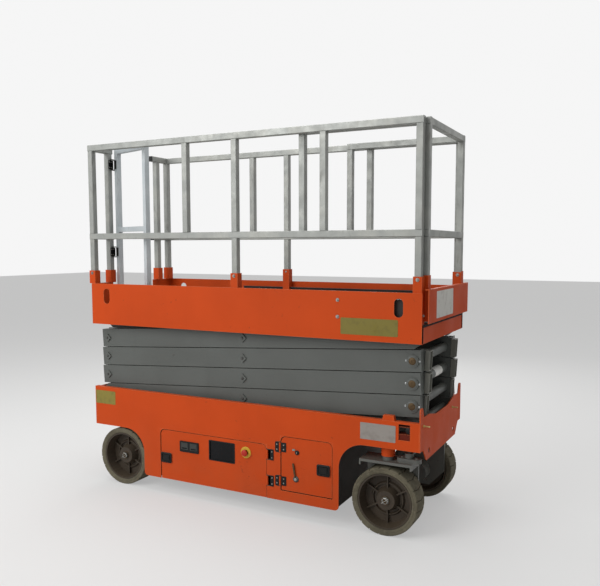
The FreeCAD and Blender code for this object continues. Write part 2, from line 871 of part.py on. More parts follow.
def lug_outline(x, y, notch):
    """Outline round the tread, a lug's edge at the ground, with a notch after each lug."""
    step = 2 * math.pi / tyre_lugs
    lug = 2 * math.radians(lug_half_deg)
    points = []
    for i in range(tyre_lugs):
        a = i * step
        points += [on_wheel(x, y, wheel_r, a), on_wheel(x, y, wheel_r, a + lug)]
        if notch:
            points += [on_wheel(x, y, wheel_r - notch, a + lug),
                       on_wheel(x, y, wheel_r - notch, a + step)]
    return points


def tyre(x):
    """Solid tyre: a plain middle band between two shoulders with notched lugs."""
    y0, y1 = wheel_inner_y, wheel_outer_y
    bands = [wheel_prism(lug_outline(x, y0, lug_notch), y0, y0 + lug_width),
             wheel_prism(lug_outline(x, y0 + lug_width, 0), y0 + lug_width, y1 - lug_width),
             wheel_prism(lug_outline(x, y1 - lug_width, lug_notch), y1 - lug_width, y1)]
    bore = wheel_prism(wheel_ring(x, y0 - 1, rim_r + seat_gap), y0 - 1, y1 + 1)
    return fuse(bands).cut(bore)


def hub(x):
    """Dished wheel disc with a rim band, radial ribs and a centre boss bored for the spindle."""
    y0, y1 = wheel_inner_y + hub_edge_inset, wheel_outer_y - hub_edge_inset
    web_y = y1 - hub_dish_depth
    back_y = web_y - hub_web_t
    core_r = spindle_r - hub_bore_wall
    foot_r = rim_r - rim_band_foot
    ring_y = web_y + hub_ring_height
    boss_y = wheel_outer_y - spindle_cap_gap - hub_edge_inset
    section = [(core_r, back_y), (hub_boss_foot_r, back_y), (foot_r, web_y - hub_web_t / 2),
               (rim_r - rim_band_t, y0), (rim_r, y0), (rim_r, y1), (rim_r - rim_band_t, y1),
               (foot_r, web_y), (hub_ring_r + hub_ring_t, web_y), (hub_ring_r, ring_y),
               (hub_ring_r - hub_ring_t / 2, ring_y), (hub_ring_r - hub_ring_t, web_y),
               (hub_boss_foot_r, web_y), (hub_boss_r, boss_y), (core_r, boss_y)]
    disc = turned(x, section)
    low, high = wheel_r + (hub_boss_r + hub_boss_foot_r) / 2, wheel_r + foot_r + rim_band_t / 2
    half = hub_rib_t / 2
    rib = plate_xz([(x - half, low), (x + half, low), (x + half, high), (x - half, high)],
                   web_y - hub_web_t / 4, web_y + hub_rib_height)
    ribs = []
    for i in range(hub_ribs):
        arm = rib.copy()
        arm.rotate(vec(x, 0, wheel_r), vec(0, 1, 0), i * 360 / hub_ribs)
        ribs.append(arm)
    bore = cross_rod(spindle_r + running_gap, x, wheel_r, y0, y1)
    return fuse([disc] + ribs).cut(bore)


def knuckle():
    """Yoke over the wheel: top channel, inner leg, drive motor, spindle and kingpin."""
    x, y = front_wheel_x, kingpin_y
    z0, z1 = knuckle_plate_bottom_z, knuckle_plate_top_z
    half, lip = knuckle_plate_half, knuckle_lip_t
    leg_y = wheel_inner_y - knuckle_leg_gap
    inner, outer = leg_y - knuckle_leg_t, y + knuckle_plate_half_width
    top = box(x - half, x + half, inner, outer, z0, z1)
    lips = [box(lx, lx + lip, inner, outer, z1 - knuckle_lip_depth, z1) for lx in (x - half, x + half - lip)]
    foot, low = knuckle_foot_half, wheel_r - knuckle_foot_drop
    leg = plate_xz([(x - half, z0), (x - half, wheel_r), (x - foot, low),
                    (x + foot, low), (x + half, wheel_r), (x + half, z0)], inner, leg_y)
    motor = cross_rod(motor_r, x, wheel_r, inner - motor_length, leg_y)
    spindle = cross_rod(spindle_r, x, wheel_r, leg_y, wheel_outer_y - spindle_cap_gap)
    kingpin = [rod(kingpin_r, kingpin_length, (x, y, z1), (0, 0, 1)),
               rod(kingpin_collar_r, kingpin_collar_height, (x, y, z1), (0, 0, 1))]
    pin_x, reach, r, pad_z = x + tie_arm_reach, tie_pad_half_length, tie_pad_r, z1 + tie_pad_height
    pad = [box(pin_x - reach, pin_x + reach, y - r, y + r, z1, pad_z)]
    pad += [rod(r, tie_pad_height, (end, y, z1), (0, 0, 1)) for end in (pin_x - reach, pin_x + reach)]
    pin_height = tie_rod_lift + tie_rod_r + tie_eye_half_height + tie_pin_show
    tie_pin = rod(tie_pin_r, pin_height, (pin_x, y, pad_z), (0, 0, 1))
    return fuse([top] + lips + kingpin + pad + [leg, motor, spindle, tie_pin])


def tie_rod():
    """Rod between the steering arms of the two knuckles, with an eye over each."""
    x, z0 = front_wheel_x + tie_arm_reach, tie_rod_z - tie_eye_half_height
    reach = kingpin_y - (tie_eye_r + tie_pin_r) / 2
    pieces = [rod(tie_rod_r, 2 * reach, (x, -reach, tie_rod_z), (0, 1, 0))]
    for y, gap in ((-kingpin_y, running_gap), (kingpin_y, open_pivot_gap)):
        eye = rod(tie_eye_r, 2 * tie_eye_half_height, (x, y, z0), (0, 0, 1))
        bore = rod(tie_pin_r + gap, 2 * tie_eye_half_height + 2, (x, y, z0 - 1), (0, 0, 1))
        pieces.append(eye.cut(bore))
    return fuse(pieces)


# Doors, built for the left side at +Y

def door_hinge_x(row):
    x0, x1, front_hinge = row[1], row[2], row[5]
    return x1 + door_hinge_out if front_hinge else x0 - door_hinge_out


def door(row, window):
    """Sheet pan with folded edges, a raised latch plate and two hinge barrels; window may be None."""
    name, x0, x1, z0, z1, front_hinge, hinges, latch = row
    y1 = door_face_y
    y0 = y1 - door_t
    pan = box(x0, x1, y0, y1, z0, z1)
    corners = [e for e in pan.Edges
               if abs(e.tangentAt(0).y) > 0.99 and e.CenterOfMass.z > (z0 + z1) / 2]
    r = door_corner_r
    pan = pan.makeFillet(r, corners)
    t = door_sheet_t
    hollow = box(x0 + t, x1 - t, y0 - 1, y1 - t, z0 + t, z1 - r)
    hollow_top = box(x0 + r, x1 - r, y0 - 1, y1 - t, z1 - r - 1, z1 - t)
    pan = cut(pan, [hollow, hollow_top])
    if window:
        wx0, wx1, wz0, wz1 = window
        pan = pan.cut(box(wx0, wx1, y1 - t - 1, y1 + 1, wz0, wz1))
    hx = door_hinge_x(row)
    edge = x1 if front_hinge else x0
    half = hinge_height / 2
    pieces = [pan, latch_plate(row)]
    bores = []
    for rise in hinges:
        z = z0 + rise
        pieces.append(rod(door_hinge_r, hinge_height, (hx, door_hinge_y, z - half), (0, 0, 1)))
        pieces.append(box(min(hx, edge) - door_strap * front_hinge,
                          max(hx, edge) + door_strap * (not front_hinge), y1 - t, y1, z - half, z + half))
        bores.append(rod(door_pin_r + running_gap, hinge_height + 2,
                         (hx, door_hinge_y, z - half - 1), (0, 0, 1)))
    return cut(fuse(pieces), bores)


def latch_plate(row):
    x0, x1, z0, front_hinge, latch = row[1], row[2], row[3], row[5], row[7]
    x = x0 + latch[0] if front_hinge else x1 - latch[0]
    z = z0 + latch[1]
    return box(x - latch_width / 2, x + latch_width / 2, door_face_y, door_face_y + fitting_t,
               z - latch_height / 2, z + latch_height / 2)


def door_hinge_pins(row):
    """Pin and two lugs at each hinge, seated in the notch of the side plate."""
    x0, x1, z0, front_hinge, hinges = row[1], row[2], row[3], row[5], row[6]
    hx = door_hinge_x(row)
    far = x1 + hinge_notch if front_hinge else x0 - hinge_notch
    near = hx - door_hinge_r if front_hinge else hx + door_hinge_r
    half = hinge_height / 2 + hinge_lug_gap
    shapes = []
    for rise in hinges:
        z = z0 + rise
        pin = rod(door_pin_r, 2 * (half + hinge_lug_t), (hx, door_hinge_y, z - half - hinge_lug_t),
                  (0, 0, 1))
        lugs = [box(min(far, near), max(far, near), inner_wall_y, door_hinge_y + door_pin_r,
                    low, low + hinge_lug_t)
                for low in (z - half - hinge_lug_t, z + half)]
        shapes.append(fuse([pin] + lugs))
    return shapes


def control_window():
    """Opening in the rear door for the dark window: x from, x to, z from, z to."""
    x0, z1 = door_table[0][1], door_table[0][4]
    x, z = x0 + glass_from_rear, z1 - glass_below_top
    return (x, x + glass_width, z - glass_height, z)


def control_fittings():
    """On the rear door: display panel, dark window behind its opening, stop button on its plate."""
    x0, x1, z1 = door_table[0][1], door_table[0][2], door_table[0][4]
    face = door_face_y
    dx, dz = x0 + display_from_rear, z1 - display_below_top
    display = box(dx, dx + display_width, face, face + fitting_t, dz - display_height, dz)
    wx0, wx1, wz0, wz1 = control_window()
    back = face - door_sheet_t
    window = box(wx0 - window_lap, wx1 + window_lap, back - fitting_t, back, wz0 - window_lap, wz1 + window_lap)
    x, z = x1 - stop_from_front, z1 - stop_below_top
    stop = fuse([cross_rod(stop_plate_r, x, z, face, face + stop_plate_t),
                 cross_rod(stop_stem_r, x, z, face, face + stop_reach),
                 cross_rod(stop_button_r, x, z, face + 2 * stop_plate_t, face + stop_reach)])
    return [display, window, stop]


def service_fittings():
    """On the front door: key switch and the hand lever on its boss."""
    x0, z0, z1 = door_table[1][1], door_table[1][3], door_table[1][4]
    face = door_face_y
    key = cross_rod(key_r, x0 + key_from_rear, z1 - key_below_top, face, face + key_reach)
    x, z = x0 + lever_from_rear, z0 + lever_over_low_edge
    half = lever_width / 2
    lever = plate_xz([(x - half, z), (x - half, z + lever_length), (x + half, z + lever_length), (x + half, z)],
                     face + lever_stand_off, face + lever_stand_off + lever_t)
    lever.rotate(vec(x, 0, z), vec(0, 1, 0), -lever_lean_deg)
    boss = cross_rod(lever_boss_r, x, z, face, face + lever_boss_t)
    return [key, fuse([boss, lever])]


# Platform

def skirt():
    """Left side panel with an oval slot near each end."""
    w = platform_half_width
    panel = box(-platform_half_length, platform_half_length, w - skirt_t, w, skirt_bottom_z, skirt_top_z)
    tools = []
    r = slot_width / 2
    z = skirt_top_z - slot_below_edge
    half = (slot_height - slot_width) / 2
    slot_x = platform_half_length - slot_inset
    for x in (-slot_x, slot_x):
        tools.append(fuse([box(x - r, x + r, w - skirt_t - 1, w + 1, z - half, z + half),
                           cross_rod(r, x, z - half, w - skirt_t - 1, w + 1),
                           cross_rod(r, x, z + half, w - skirt_t - 1, w + 1)]))
    return cut(panel, tools)


def platform_floor():
    """Floor sheet with stiffeners welded across its underside between the arms."""
    w = platform_half_width - skirt_t
    end = platform_half_length - skirt_t
    sheet = box(-end, end, -w, w, floor_under_z, floor_top_z)
    half, reach = stiffener_width / 2, inner_arm_y - stiffener_side_gap
    first = node_left_x + stiffener_rear_gap
    spacing = (platform_half_length - stiffener_front_gap - first) / (stiffener_count - 1)
    ribs = []
    for i in range(stiffener_count):
        x = first + i * spacing
        ribs.append(box(x - half, x + half, -reach, reach, floor_under_z - stiffener_depth, floor_under_z))
    return fuse([sheet] + ribs)


def platform_end_panels():
    """Rear panel with the gateway cut down to the floor, and the low front panel."""
    w = platform_half_width - skirt_t
    x0 = -platform_half_length
    low_y = gateway_low_y - gateway_panel_edge
    rear = plate_yz([(-w, skirt_bottom_z), (w, skirt_bottom_z), (w, skirt_top_z),
                     (gateway_high_y, skirt_top_z), (gateway_high_y, floor_top_z),
                     (low_y, floor_top_z), (low_y, skirt_top_z), (-w, skirt_top_z)], x0, x0 + skirt_t)
    front = box(-x0 - skirt_t, -x0, -w + 3, w - 3, skirt_bottom_z, floor_top_z)
    return [rear, front]


def platform_tracks():
    return both_sides(slide_track(track_start_x, platform_half_length - skirt_t, node(levels, True)[1],
                                  floor_under_z))


def platform_pivot():
    """Left pair of plates under the floor with the pin that the top inner arm hangs from."""
    x, z = node(levels, False)
    low_y = inner_arm_y - hanger_plate_gap - bracket_t
    high_y = inner_arm_y + arm_t + hanger_plate_gap
    low_z = z - pin_r - 14
    outline = [(x - 50, floor_under_z), (x - 34, z - 10), (x - 16, low_z), (x + 16, low_z),
               (x + 34, z - 10), (x + 70, floor_under_z)]
    plates = [plate_xz(outline, y0, y0 + bracket_t) for y0 in (low_y, high_y)]
    return fuse(plates + [cross_rod(pin_r, x, z, low_y, high_y + bracket_t)])


def guard_rails():
    """Top and mid rails, each side rail with the stub that it carries beside the rear gateway."""
    rails = []
    joint_y = rail_half_width - tube + tube_edge
    for z in (rail_z, mid_rail_z):
        for y, gateway_y in ((-rail_y, gateway_low_y - hinge_stub), (rail_y, gateway_high_y)):
            side = square_tube((rail_rear_x, y, z), (rail_front_x, y, z))
            stub = square_tube((rear_post_x, math.copysign(joint_y, y), z), (rear_post_x, gateway_y, z))
            rails.append(fuse([side, stub]))
    return rails


def posts_and_sockets():
    """Where the posts stand: x, y, the bottom of the socket, or None for an upper post."""
    places = []
    for side in (-1, 1):
        places.append((rear_post_x, side * rail_y, skirt_top_z))
        places.append((front_post_x, side * rail_y, floor_top_z))
    for y in (hinge_post_y, latch_post_y):
        places.append((rear_post_x, y, skirt_top_z))
    for x, side, full in mid_post_table:
        places.append((x, side * rail_y, floor_top_z if full else None))
    return places


def guard_rail_posts():
    """Upper posts between the rails, and lower posts down into the sockets."""
    half = tube / 2
    posts = []
    for x, y, socket_z in posts_and_sockets():
        posts.append(square_tube((x, y, mid_rail_z + half), (x, y, rail_top_z - tube)))
        if socket_z:
            low_z = socket_z if socket_z == skirt_top_z else socket_z + post_floor_gap
            posts.append(square_tube((x, y, low_z), (x, y, mid_rail_z - half)))
    return posts


def post_sockets():
    """Square sleeves that the lower posts stand in."""
    half = tube / 2 + socket_gap
    wall = half + socket_wall
    top = skirt_top_z + socket_height
    shapes = []
    for x, y, socket_z in posts_and_sockets():
        if socket_z:
            sleeve = box(x - wall, x + wall, y - wall, y + wall, socket_z, top)
            shapes.append(sleeve.cut(box(x - half, x + half, y - half, y + half, socket_z - 1, top + 1)))
    return shapes


# Roll-out deck

def extension_floor():
    """Deck sheet with a raised tread panel between the posts, on pads that slide on the floor."""
    w = ext_rail_y + tube / 2
    base = box(extension_rear_x, extension_front_x - toe_board_t, -w, w, extension_floor_z, extension_base_z)
    margin = tread_margin
    tread = box(extension_rear_x + margin, ext_front_post_x - tube / 2 - margin,
                -w + tube + margin, w - tube - margin, extension_base_z, extension_top_z)
    first = extension_rear_x + pad_rear_inset
    last = extension_front_x - pad_front_inset
    pads = []
    for x in (first, (first + last) / 2, last):
        for side in (-1, 1):
            y = side * (ext_rail_y - pad_side_inset)
            pads.append(box(x, x + pad_length, y - pad_half_width, y + pad_half_width,
                            floor_top_z + pad_gap, extension_floor_z))
    return fuse([base, tread] + pads)


def extension_toe_board():
    """Board across the front with its top edge folded back."""
    w = rail_half_width
    x1 = extension_front_x
    web = box(x1 - toe_board_t, x1, -w, w, extension_floor_z - 1, extension_toe_top_z)
    lip = box(x1 - toe_board_lip, x1, -w, w, extension_toe_top_z - toe_board_t, extension_toe_top_z)
    return fuse([web, lip])


def extension_rails():
    """Top and mid rails, each running along both sides and across the front."""
    end = ext_front_post_x + tube / 2
    joint_y = ext_rail_y - tube / 2 + tube_edge
    rails = []
    for z in (rail_z, mid_rail_z):
        sides = [square_tube((extension_rear_x, y, z), (end, y, z)) for y in (-ext_rail_y, ext_rail_y)]
        across = square_tube((ext_front_post_x, -joint_y, z), (ext_front_post_x, joint_y, z))
        rails.append(fuse(sides + [across]))
    return rails


def extension_posts():
    half = tube / 2
    posts = []
    for y in (-ext_rail_y, ext_rail_y):
        for x in (ext_rear_post_x, ext_front_post_x):
            posts.append(square_tube((x, y, mid_rail_z + half), (x, y, rail_top_z - tube)))
        posts.append(square_tube((ext_front_post_x, y, extension_base_z), (ext_front_post_x, y, mid_rail_z - half)))
    return posts


def extension_sockets():
    """Angle brackets behind and inside the front posts, left open beside the main posts."""
    half = tube / 2 + socket_gap
    x, y = ext_front_post_x, ext_rail_y
    top = skirt_top_z + socket_height
    inner_y = y - half - socket_wall
    side = fuse([box(x - half - socket_wall, x + tube / 2, inner_y, y - half, extension_base_z, top),
                 box(x - half - socket_wall, x - half, inner_y, y + tube / 2, extension_base_z, top)])
    return both_sides(side)


# Gate, built closed along +Y from its hinge and then swung open

def gate_frame():
    half = gate_tube / 2
    x = gate_hinge_x
    y0 = gate_hinge_y + half
    y1 = gate_hinge_y + gate_length
    bottom_z = floor_top_z + gate_floor_gap
    top_z = rail_top_z - gate_top_drop
    bars = [box(x - half, x + half, y, y + gate_tube, bottom_z, top_z) for y in (y0, y1 - gate_tube)]
    for z in (bottom_z + half, mid_rail_z + gate_mid_rise, top_z - half):
        bars.append(box(x - half, x + half, y0, y1, z - half, z + half))
    bores = []
    for z in gate_hinge_heights:
        low = z - gate_hinge_height / 2
        bars.append(rod(gate_hinge_r, gate_hinge_height, (x, gate_hinge_y, low), (0, 0, 1)))
        bars.append(box(x - gate_leaf_t / 2, x + gate_leaf_t / 2, gate_hinge_y, y0 + 1,
                        low, low + gate_hinge_height))
        bores.append(rod(gate_pin_r + running_gap, gate_hinge_height + 2,
                         (x, gate_hinge_y, low - 1), (0, 0, 1)))
    frame = cut(fuse(bars), bores)
    frame.rotate(vec(gate_hinge_x, gate_hinge_y, 0), vec(0, 0, 1), -gate_open_deg)
    return frame


def gate_hinge_lugs():
    """Pin and two lugs at each hinge, standing off the inner face of the hinge post."""
    shapes = []
    for z in gate_hinge_heights:
        low = z - gate_hinge_height / 2
        bottom = low - gate_hinge_gap - gate_lug_t
        reach = gate_hinge_height + 2 * (gate_hinge_gap + gate_lug_t)
        pieces = [rod(gate_pin_r, reach, (gate_hinge_x, gate_hinge_y, bottom), (0, 0, 1))]
        for z0 in (bottom, low + gate_hinge_height + gate_hinge_gap):
            pieces.append(box(rail_rear_x + tube, gate_hinge_x + gate_hinge_r, hinge_post_y,
                              gate_hinge_y + gate_hinge_r, z0, z0 + gate_lug_t))
        shapes.append(fuse(pieces))
    return shapes


def save_chassis():
    save("side_plates", both_sides(side_plate()))
    save("chassis_end_plates", [rear_plate(), front_plate()])
    save("chassis_deck", [chassis_deck()])
    save("bay_walls", [bay_walls()])
    save("chassis_tracks", both_sides(chassis_track()))
    save("arm_pivot_brackets", both_sides(pivot_bracket()))
    save("front_axle_beam", [front_axle()])
    save("rear_axle", [rear_axle()])
    save("battery_block", [battery_block()])
    save("hydraulic_block", [hydraulic_block()])


def save_wheels():
    for place, x in (("front", front_wheel_x), ("rear", rear_wheel_x)):
        rubber, disc = tyre(x), hub(x)
        save("tyre_%s_left" % place, [rubber])
        save("tyre_%s_right" % place, [mirror_y(rubber)])
        save("hub_%s_left" % place, [disc])
        save("hub_%s_right" % place, [mirror_y(disc)])
    yoke = knuckle()
    save("knuckle_left", [yoke])
    save("knuckle_right", [mirror_y(yoke)])
    save("tie_rod", [tie_rod()])


def save_doors():
    for row in door_table:
        window = control_window() if row[0] == "rear" else None
        save("door_%s_left" % row[0], [door(row, None)])
        save("door_%s_right" % row[0], [mirror_y(door(row, window))])
    pins = [pin for row in door_table for pin in door_hinge_pins(row)]
    save("door_hinge_pins", [shape for pin in pins for shape in both_sides(pin)])
    save("control_fittings", [mirror_y(shape) for shape in control_fittings()])
    save("service_fittings", [mirror_y(shape) for shape in service_fittings()])


def save_scissor():
    for level in range(1, levels + 1):
        save("outer_arm_%d" % level, [outer_arm(level)])
        save("inner_arm_%d" % level, [inner_arm(level)])
    barrel, piston = lift_cylinder()
    save("lift_barrel", [barrel])
    save("lift_rod", [piston])


def save_platform():
    save("skirts", both_sides(skirt()))
    save("platform_floor", [platform_floor()])
    save("platform_end_panels", platform_end_panels())
    save("platform_tracks", platform_tracks())
    save("platform_pivot_brackets", both_sides(platform_pivot()))
    save("guard_rails", guard_rails())
    save("guard_rail_posts", guard_rail_posts())
    save("post_sockets", post_sockets())
    save("gate_frame", [gate_frame()])
    save("gate_hinge_lugs", gate_hinge_lugs())


def save_extension():
    save("extension_floor", [extension_floor()])
    save("extension_toe_board", [extension_toe_board()])
    save("extension_rails", extension_rails())
    save("extension_posts", extension_posts())
    save("extension_sockets", extension_sockets())


def main():
    os.makedirs(parts_dir, exist_ok=True)
    save_chassis()
    save_wheels()
    save_doors()
    save_scissor()
    save_platform()
    save_extension()


main()
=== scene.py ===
import math

import bmesh
import bpy
from mathutils import Matrix, Vector


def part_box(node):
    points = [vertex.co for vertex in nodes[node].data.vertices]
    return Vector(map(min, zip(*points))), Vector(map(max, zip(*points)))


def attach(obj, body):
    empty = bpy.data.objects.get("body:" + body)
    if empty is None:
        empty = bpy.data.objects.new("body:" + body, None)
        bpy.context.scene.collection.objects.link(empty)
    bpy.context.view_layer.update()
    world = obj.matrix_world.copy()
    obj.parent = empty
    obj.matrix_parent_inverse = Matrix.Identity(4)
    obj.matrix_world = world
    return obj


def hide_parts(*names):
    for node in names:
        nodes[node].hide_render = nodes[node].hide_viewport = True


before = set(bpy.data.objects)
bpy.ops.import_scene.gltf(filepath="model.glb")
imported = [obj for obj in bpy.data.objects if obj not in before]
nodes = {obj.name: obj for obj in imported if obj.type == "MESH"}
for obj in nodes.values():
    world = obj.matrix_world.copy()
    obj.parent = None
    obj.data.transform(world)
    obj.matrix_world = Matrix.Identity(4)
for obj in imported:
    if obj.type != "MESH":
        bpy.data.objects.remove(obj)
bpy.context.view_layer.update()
bothSides = (("right", -1), ("left", 1))
wheelPlaces = [(place, side) for place in ("front", "rear") for side in ("left", "right")]
print("frame loaded,", len(nodes), "nodes")


def newObject(name, data):
    item = bpy.data.objects.new(name, data)
    bpy.context.scene.collection.objects.link(item)
    return item


def addNode(tree, kind, inputs=None, **settings):
    # a node with its settings made first, and each input set to a value or linked to an output
    node = tree.nodes.new(kind)
    for key, value in settings.items():
        setattr(node, key, value)
    for key, value in (inputs or {}).items():
        if isinstance(value, bpy.types.NodeSocket):
            tree.links.new(value, node.inputs[key])
        else:
            node.inputs[key].default_value = value
    return node


# Camera, light and floor

cameraSpot = {"place": (2.2038, -3.8683, 1.5788), "yaw": 0.47666, "pitch": -0.09164, "roll": -0.00128,
              "lens": 41.453, "sensor": 36.0, "shiftX": 0.0005, "shiftY": 0.02943, "clip": (0.05, 100.0)}


def placeCamera(spot):
    yaw, pitch, roll = spot["yaw"], spot["pitch"], spot["roll"]
    ahead = Vector((-math.sin(yaw) * math.cos(pitch), math.cos(yaw) * math.cos(pitch), math.sin(pitch)))
    right = Vector((math.cos(yaw), math.sin(yaw), 0.0))
    up = right.cross(ahead)
    right, up = (math.cos(roll) * right + math.sin(roll) * up, -math.sin(roll) * right + math.cos(roll) * up)
    data = bpy.data.cameras.new("viewCamera")
    data.lens, data.sensor_width = spot["lens"], spot["sensor"]
    data.shift_x, data.shift_y = spot["shiftX"], spot["shiftY"]
    data.clip_start, data.clip_end = spot["clip"]
    camera = newObject("viewCamera", data)
    turn = Matrix((right, up, -ahead)).transposed().to_4x4()
    camera.matrix_world = Matrix.Translation(spot["place"]) @ turn
    bpy.context.scene.camera = camera


studioLight = {"skyStrength": 0.33, "seenWhite": 0.92, "lamps": [
    # name, place, aimed at, size, watts
    ("sideLamp", (-2.4, -5.2, 3.9), (0.0, 0.0, 0.9), 4.0, 238.0),
    ("topLamp", (-0.4, 0.4, 5.6), (0.0, 0.0, 1.0), 4.5, 165.0),
    ("backLamp", (-1.2, 4.6, 3.2), (0.0, 0.0, 1.0), 3.0, 60.0),
]}


def lightStudio(light):
    for name, place, target, size, watts in light["lamps"]:
        data = bpy.data.lights.new(name, "AREA")
        data.size, data.energy = size, watts
        lamp = newObject(name, data)
        lamp.location = place
        lamp.rotation_euler = (Vector(target) - Vector(place)).to_track_quat("-Z", "Y").to_euler()
    world = bpy.data.worlds.new("studioSky")
    bpy.context.scene.world = world
    world.use_nodes = True
    tree = world.node_tree
    # white where it is seen, also in reflections and through glass, and dimmer as a light
    rays = addNode(tree, "ShaderNodeLightPath").outputs
    seen = rays["Is Camera Ray"]
    for ray in ("Is Glossy Ray", "Is Transmission Ray"):
        seen = addNode(tree, "ShaderNodeMath", {0: seen, 1: rays[ray]}, operation="MAXIMUM").outputs[0]
    level = addNode(tree, "ShaderNodeMapRange",
                    {"Value": seen, "To Min": light["skyStrength"], "To Max": light["seenWhite"]})
    sky = tree.nodes["Background"]
    sky.inputs["Color"].default_value = (1.0, 1.0, 1.0, 1.0)
    tree.links.new(level.outputs[0], sky.inputs["Strength"])


paleFloor = {"half": 30.0, "colour": (0.66, 0.66, 0.65, 1.0), "roughness": 0.9,
             "glow": (0.92, 0.92, 0.92, 1.0), "glowShare": 0.42}


def layFloor(look):
    mesh = bpy.data.meshes.new("studioFloor")
    half = look["half"]
    mesh.from_pydata([(-half, -half, 0), (half, -half, 0), (half, half, 0), (-half, half, 0)], [], [(0, 1, 2, 3)])
    floor = newObject("studioFloor", mesh)
    mat = bpy.data.materials.new("paleFloor")
    mat.use_nodes = True
    tree = mat.node_tree
    shader = tree.nodes["Principled BSDF"]
    shader.inputs["Base Color"].default_value = look["colour"]
    shader.inputs["Roughness"].default_value = look["roughness"]
    seen = addNode(tree, "ShaderNodeLightPath").outputs["Is Camera Ray"]
    glow = addNode(tree, "ShaderNodeEmission", {"Color": look["glow"]})
    share = addNode(tree, "ShaderNodeMath", {0: seen, 1: look["glowShare"]}, operation="MULTIPLY")
    mix = addNode(tree, "ShaderNodeMixShader", {0: share.outputs[0], 1: shader.outputs[0], 2: glow.outputs[0]})
    tree.links.new(mix.outputs[0], tree.nodes["Material Output"].inputs[0])
    mesh.materials.append(mat)


bpy.context.scene.view_settings.view_transform = "Standard"
placeCamera(cameraSpot)
lightStudio(studioLight)
layFloor(paleFloor)
print("camera, light and floor in place")


# Finishes, all read from Object coordinates

def linear(colour):  # from the 0 to 255 values that a picture shows
    return tuple((v / 255 / 12.92) if v <= 10 else ((v / 255 + 0.055) / 1.055) ** 2.4 for v in colour) + (1.0,)


class Finish:
    # one procedural material, with small helpers that add its layers

    def __init__(self, name, colour, roughness, metallic=0.0, specular=0.5):
        self.mat = bpy.data.materials.new(name)
        self.mat.use_nodes = True
        self.tree = self.mat.node_tree
        self.shader = self.tree.nodes["Principled BSDF"].inputs
        self.coords = self.add("ShaderNodeTexCoord").outputs["Object"]
        self.colour = linear(colour)
        self.shader["Roughness"].default_value = roughness
        self.shader["Metallic"].default_value = metallic
        self.shader["Specular IOR Level"].default_value = specular

    def add(self, kind, inputs=None, **settings):
        return addNode(self.tree, kind, inputs, **settings)

    def noise(self, scale, detail=3.0, stretch=None, distortion=0.0):
        place = self.coords
        if stretch:
            place = self.add("ShaderNodeMapping", {"Vector": place, "Scale": stretch}).outputs[0]
        return self.add("ShaderNodeTexNoise", {"Vector": place, "Scale": scale, "Detail": detail,
                                               "Distortion": distortion}).outputs[0]

    def ramp(self, value, low, high, start=0.0, end=1.0):
        return self.add("ShaderNodeMapRange", {"Value": value, "From Min": low, "From Max": high,
                                               "To Min": start, "To Max": end}).outputs[0]

    def times(self, a, b):
        return self.add("ShaderNodeMath", {0: a, 1: b}, operation="MULTIPLY").outputs[0]

    def upPart(self, vector):
        return self.add("ShaderNodeSeparateXYZ", {0: vector}).outputs[2]

    def trueNormal(self):
        return self.add("ShaderNodeNewGeometry").outputs["True Normal"]

    def layer(self, share, colour):
        mix = self.add("ShaderNodeMix", {0: share, 6: self.colour, 7: linear(colour)}, data_type="RGBA")
        self.colour = mix.outputs[2]

    def clouds(self, scale, detail, low, high, share, colour, stretch=None):  # where a noise rises from low to high
        self.layer(self.ramp(self.noise(scale, detail, stretch), low, high, 0.0, share), colour)

    def crossing(self, first, second, share, colour):  # where two masks meet
        self.layer(self.times(self.times(first, second), share), colour)

    def edges(self, radius):  # 0 on a flat face, up to 1 where the eased normal leaves the true one
        eased = self.add("ShaderNodeBevel", {"Radius": radius}, samples=4)
        dot = self.add("ShaderNodeVectorMath", {0: eased.outputs[0], 1: self.trueNormal()}, operation="DOT_PRODUCT")
        return self.ramp(dot.outputs["Value"], 0.985, 0.86)

    def rough(self, scale, detail, low, high):
        self.tree.links.new(self.ramp(self.noise(scale, detail), 0.3, 0.7, low, high), self.shader["Roughness"])

    def bump(self, scale, detail, strength, distance, stretch=None):
        height = self.noise(scale, detail, stretch)
        node = self.add("ShaderNodeBump", {"Strength": strength, "Distance": distance, "Height": height})
        if self.shader["Normal"].is_linked:
            self.tree.links.new(self.shader["Normal"].links[0].from_socket, node.inputs["Normal"])
        self.tree.links.new(node.outputs[0], self.shader["Normal"])

    def done(self):
        self.tree.links.new(self.colour, self.shader["Base Color"])
        return self.mat


def sprayedPaint(name, colour, shade, dust, look):
    # cloudy fading, run marks, dust near the ground and on top, scuffs, and edges lightened partly by wear and partly
    # as a painted highlight
    f = Finish(name, colour, look["roughness"], specular=look["specular"])
    f.clouds(look["cloudSize"], 4.0, 0.35, 0.7, look["cloud"], shade)
    f.clouds(9.0, 5.0, 0.56, 0.78, look["runs"], shade, (1.0, 1.0, 0.12))
    f.crossing(f.ramp(f.upPart(f.coords), 0.02, look["dustHeight"], 1.0, 0.0),
               f.ramp(f.noise(6.0, 6.0), 0.3, 0.72), look["dust"], dust)
    f.crossing(f.ramp(f.upPart(f.trueNormal()), 0.5, 0.95),
               f.ramp(f.noise(11.0, 5.0), 0.25, 0.7, 0.25, 1.0), look["topDust"], dust)
    f.crossing(f.ramp(f.noise(34.0, 8.0, distortion=1.2), 0.66, 0.71),
               f.ramp(f.noise(3.1, 2.0), 0.5, 0.62), look["scuffs"], look["scuffColour"])
    # lighter edges: partly worn paint, partly a painted highlight along them
    f.crossing(f.edges(look["edgeWidth"]),
               f.ramp(f.noise(21.0, 6.0), 0.3, 0.6, 0.25, 1.0), look["wornEdgeAndHighlight"], look["wornEdgeAndHighlightColour"])
    f.rough(5.0, 4.0, look["roughness"] - 0.07, look["roughness"] + 0.12)
    f.bump(260.0, 2.0, 0.05, 0.0006)
    f.bump(5.5, 2.0, 0.12, 0.004)
    return f.done()


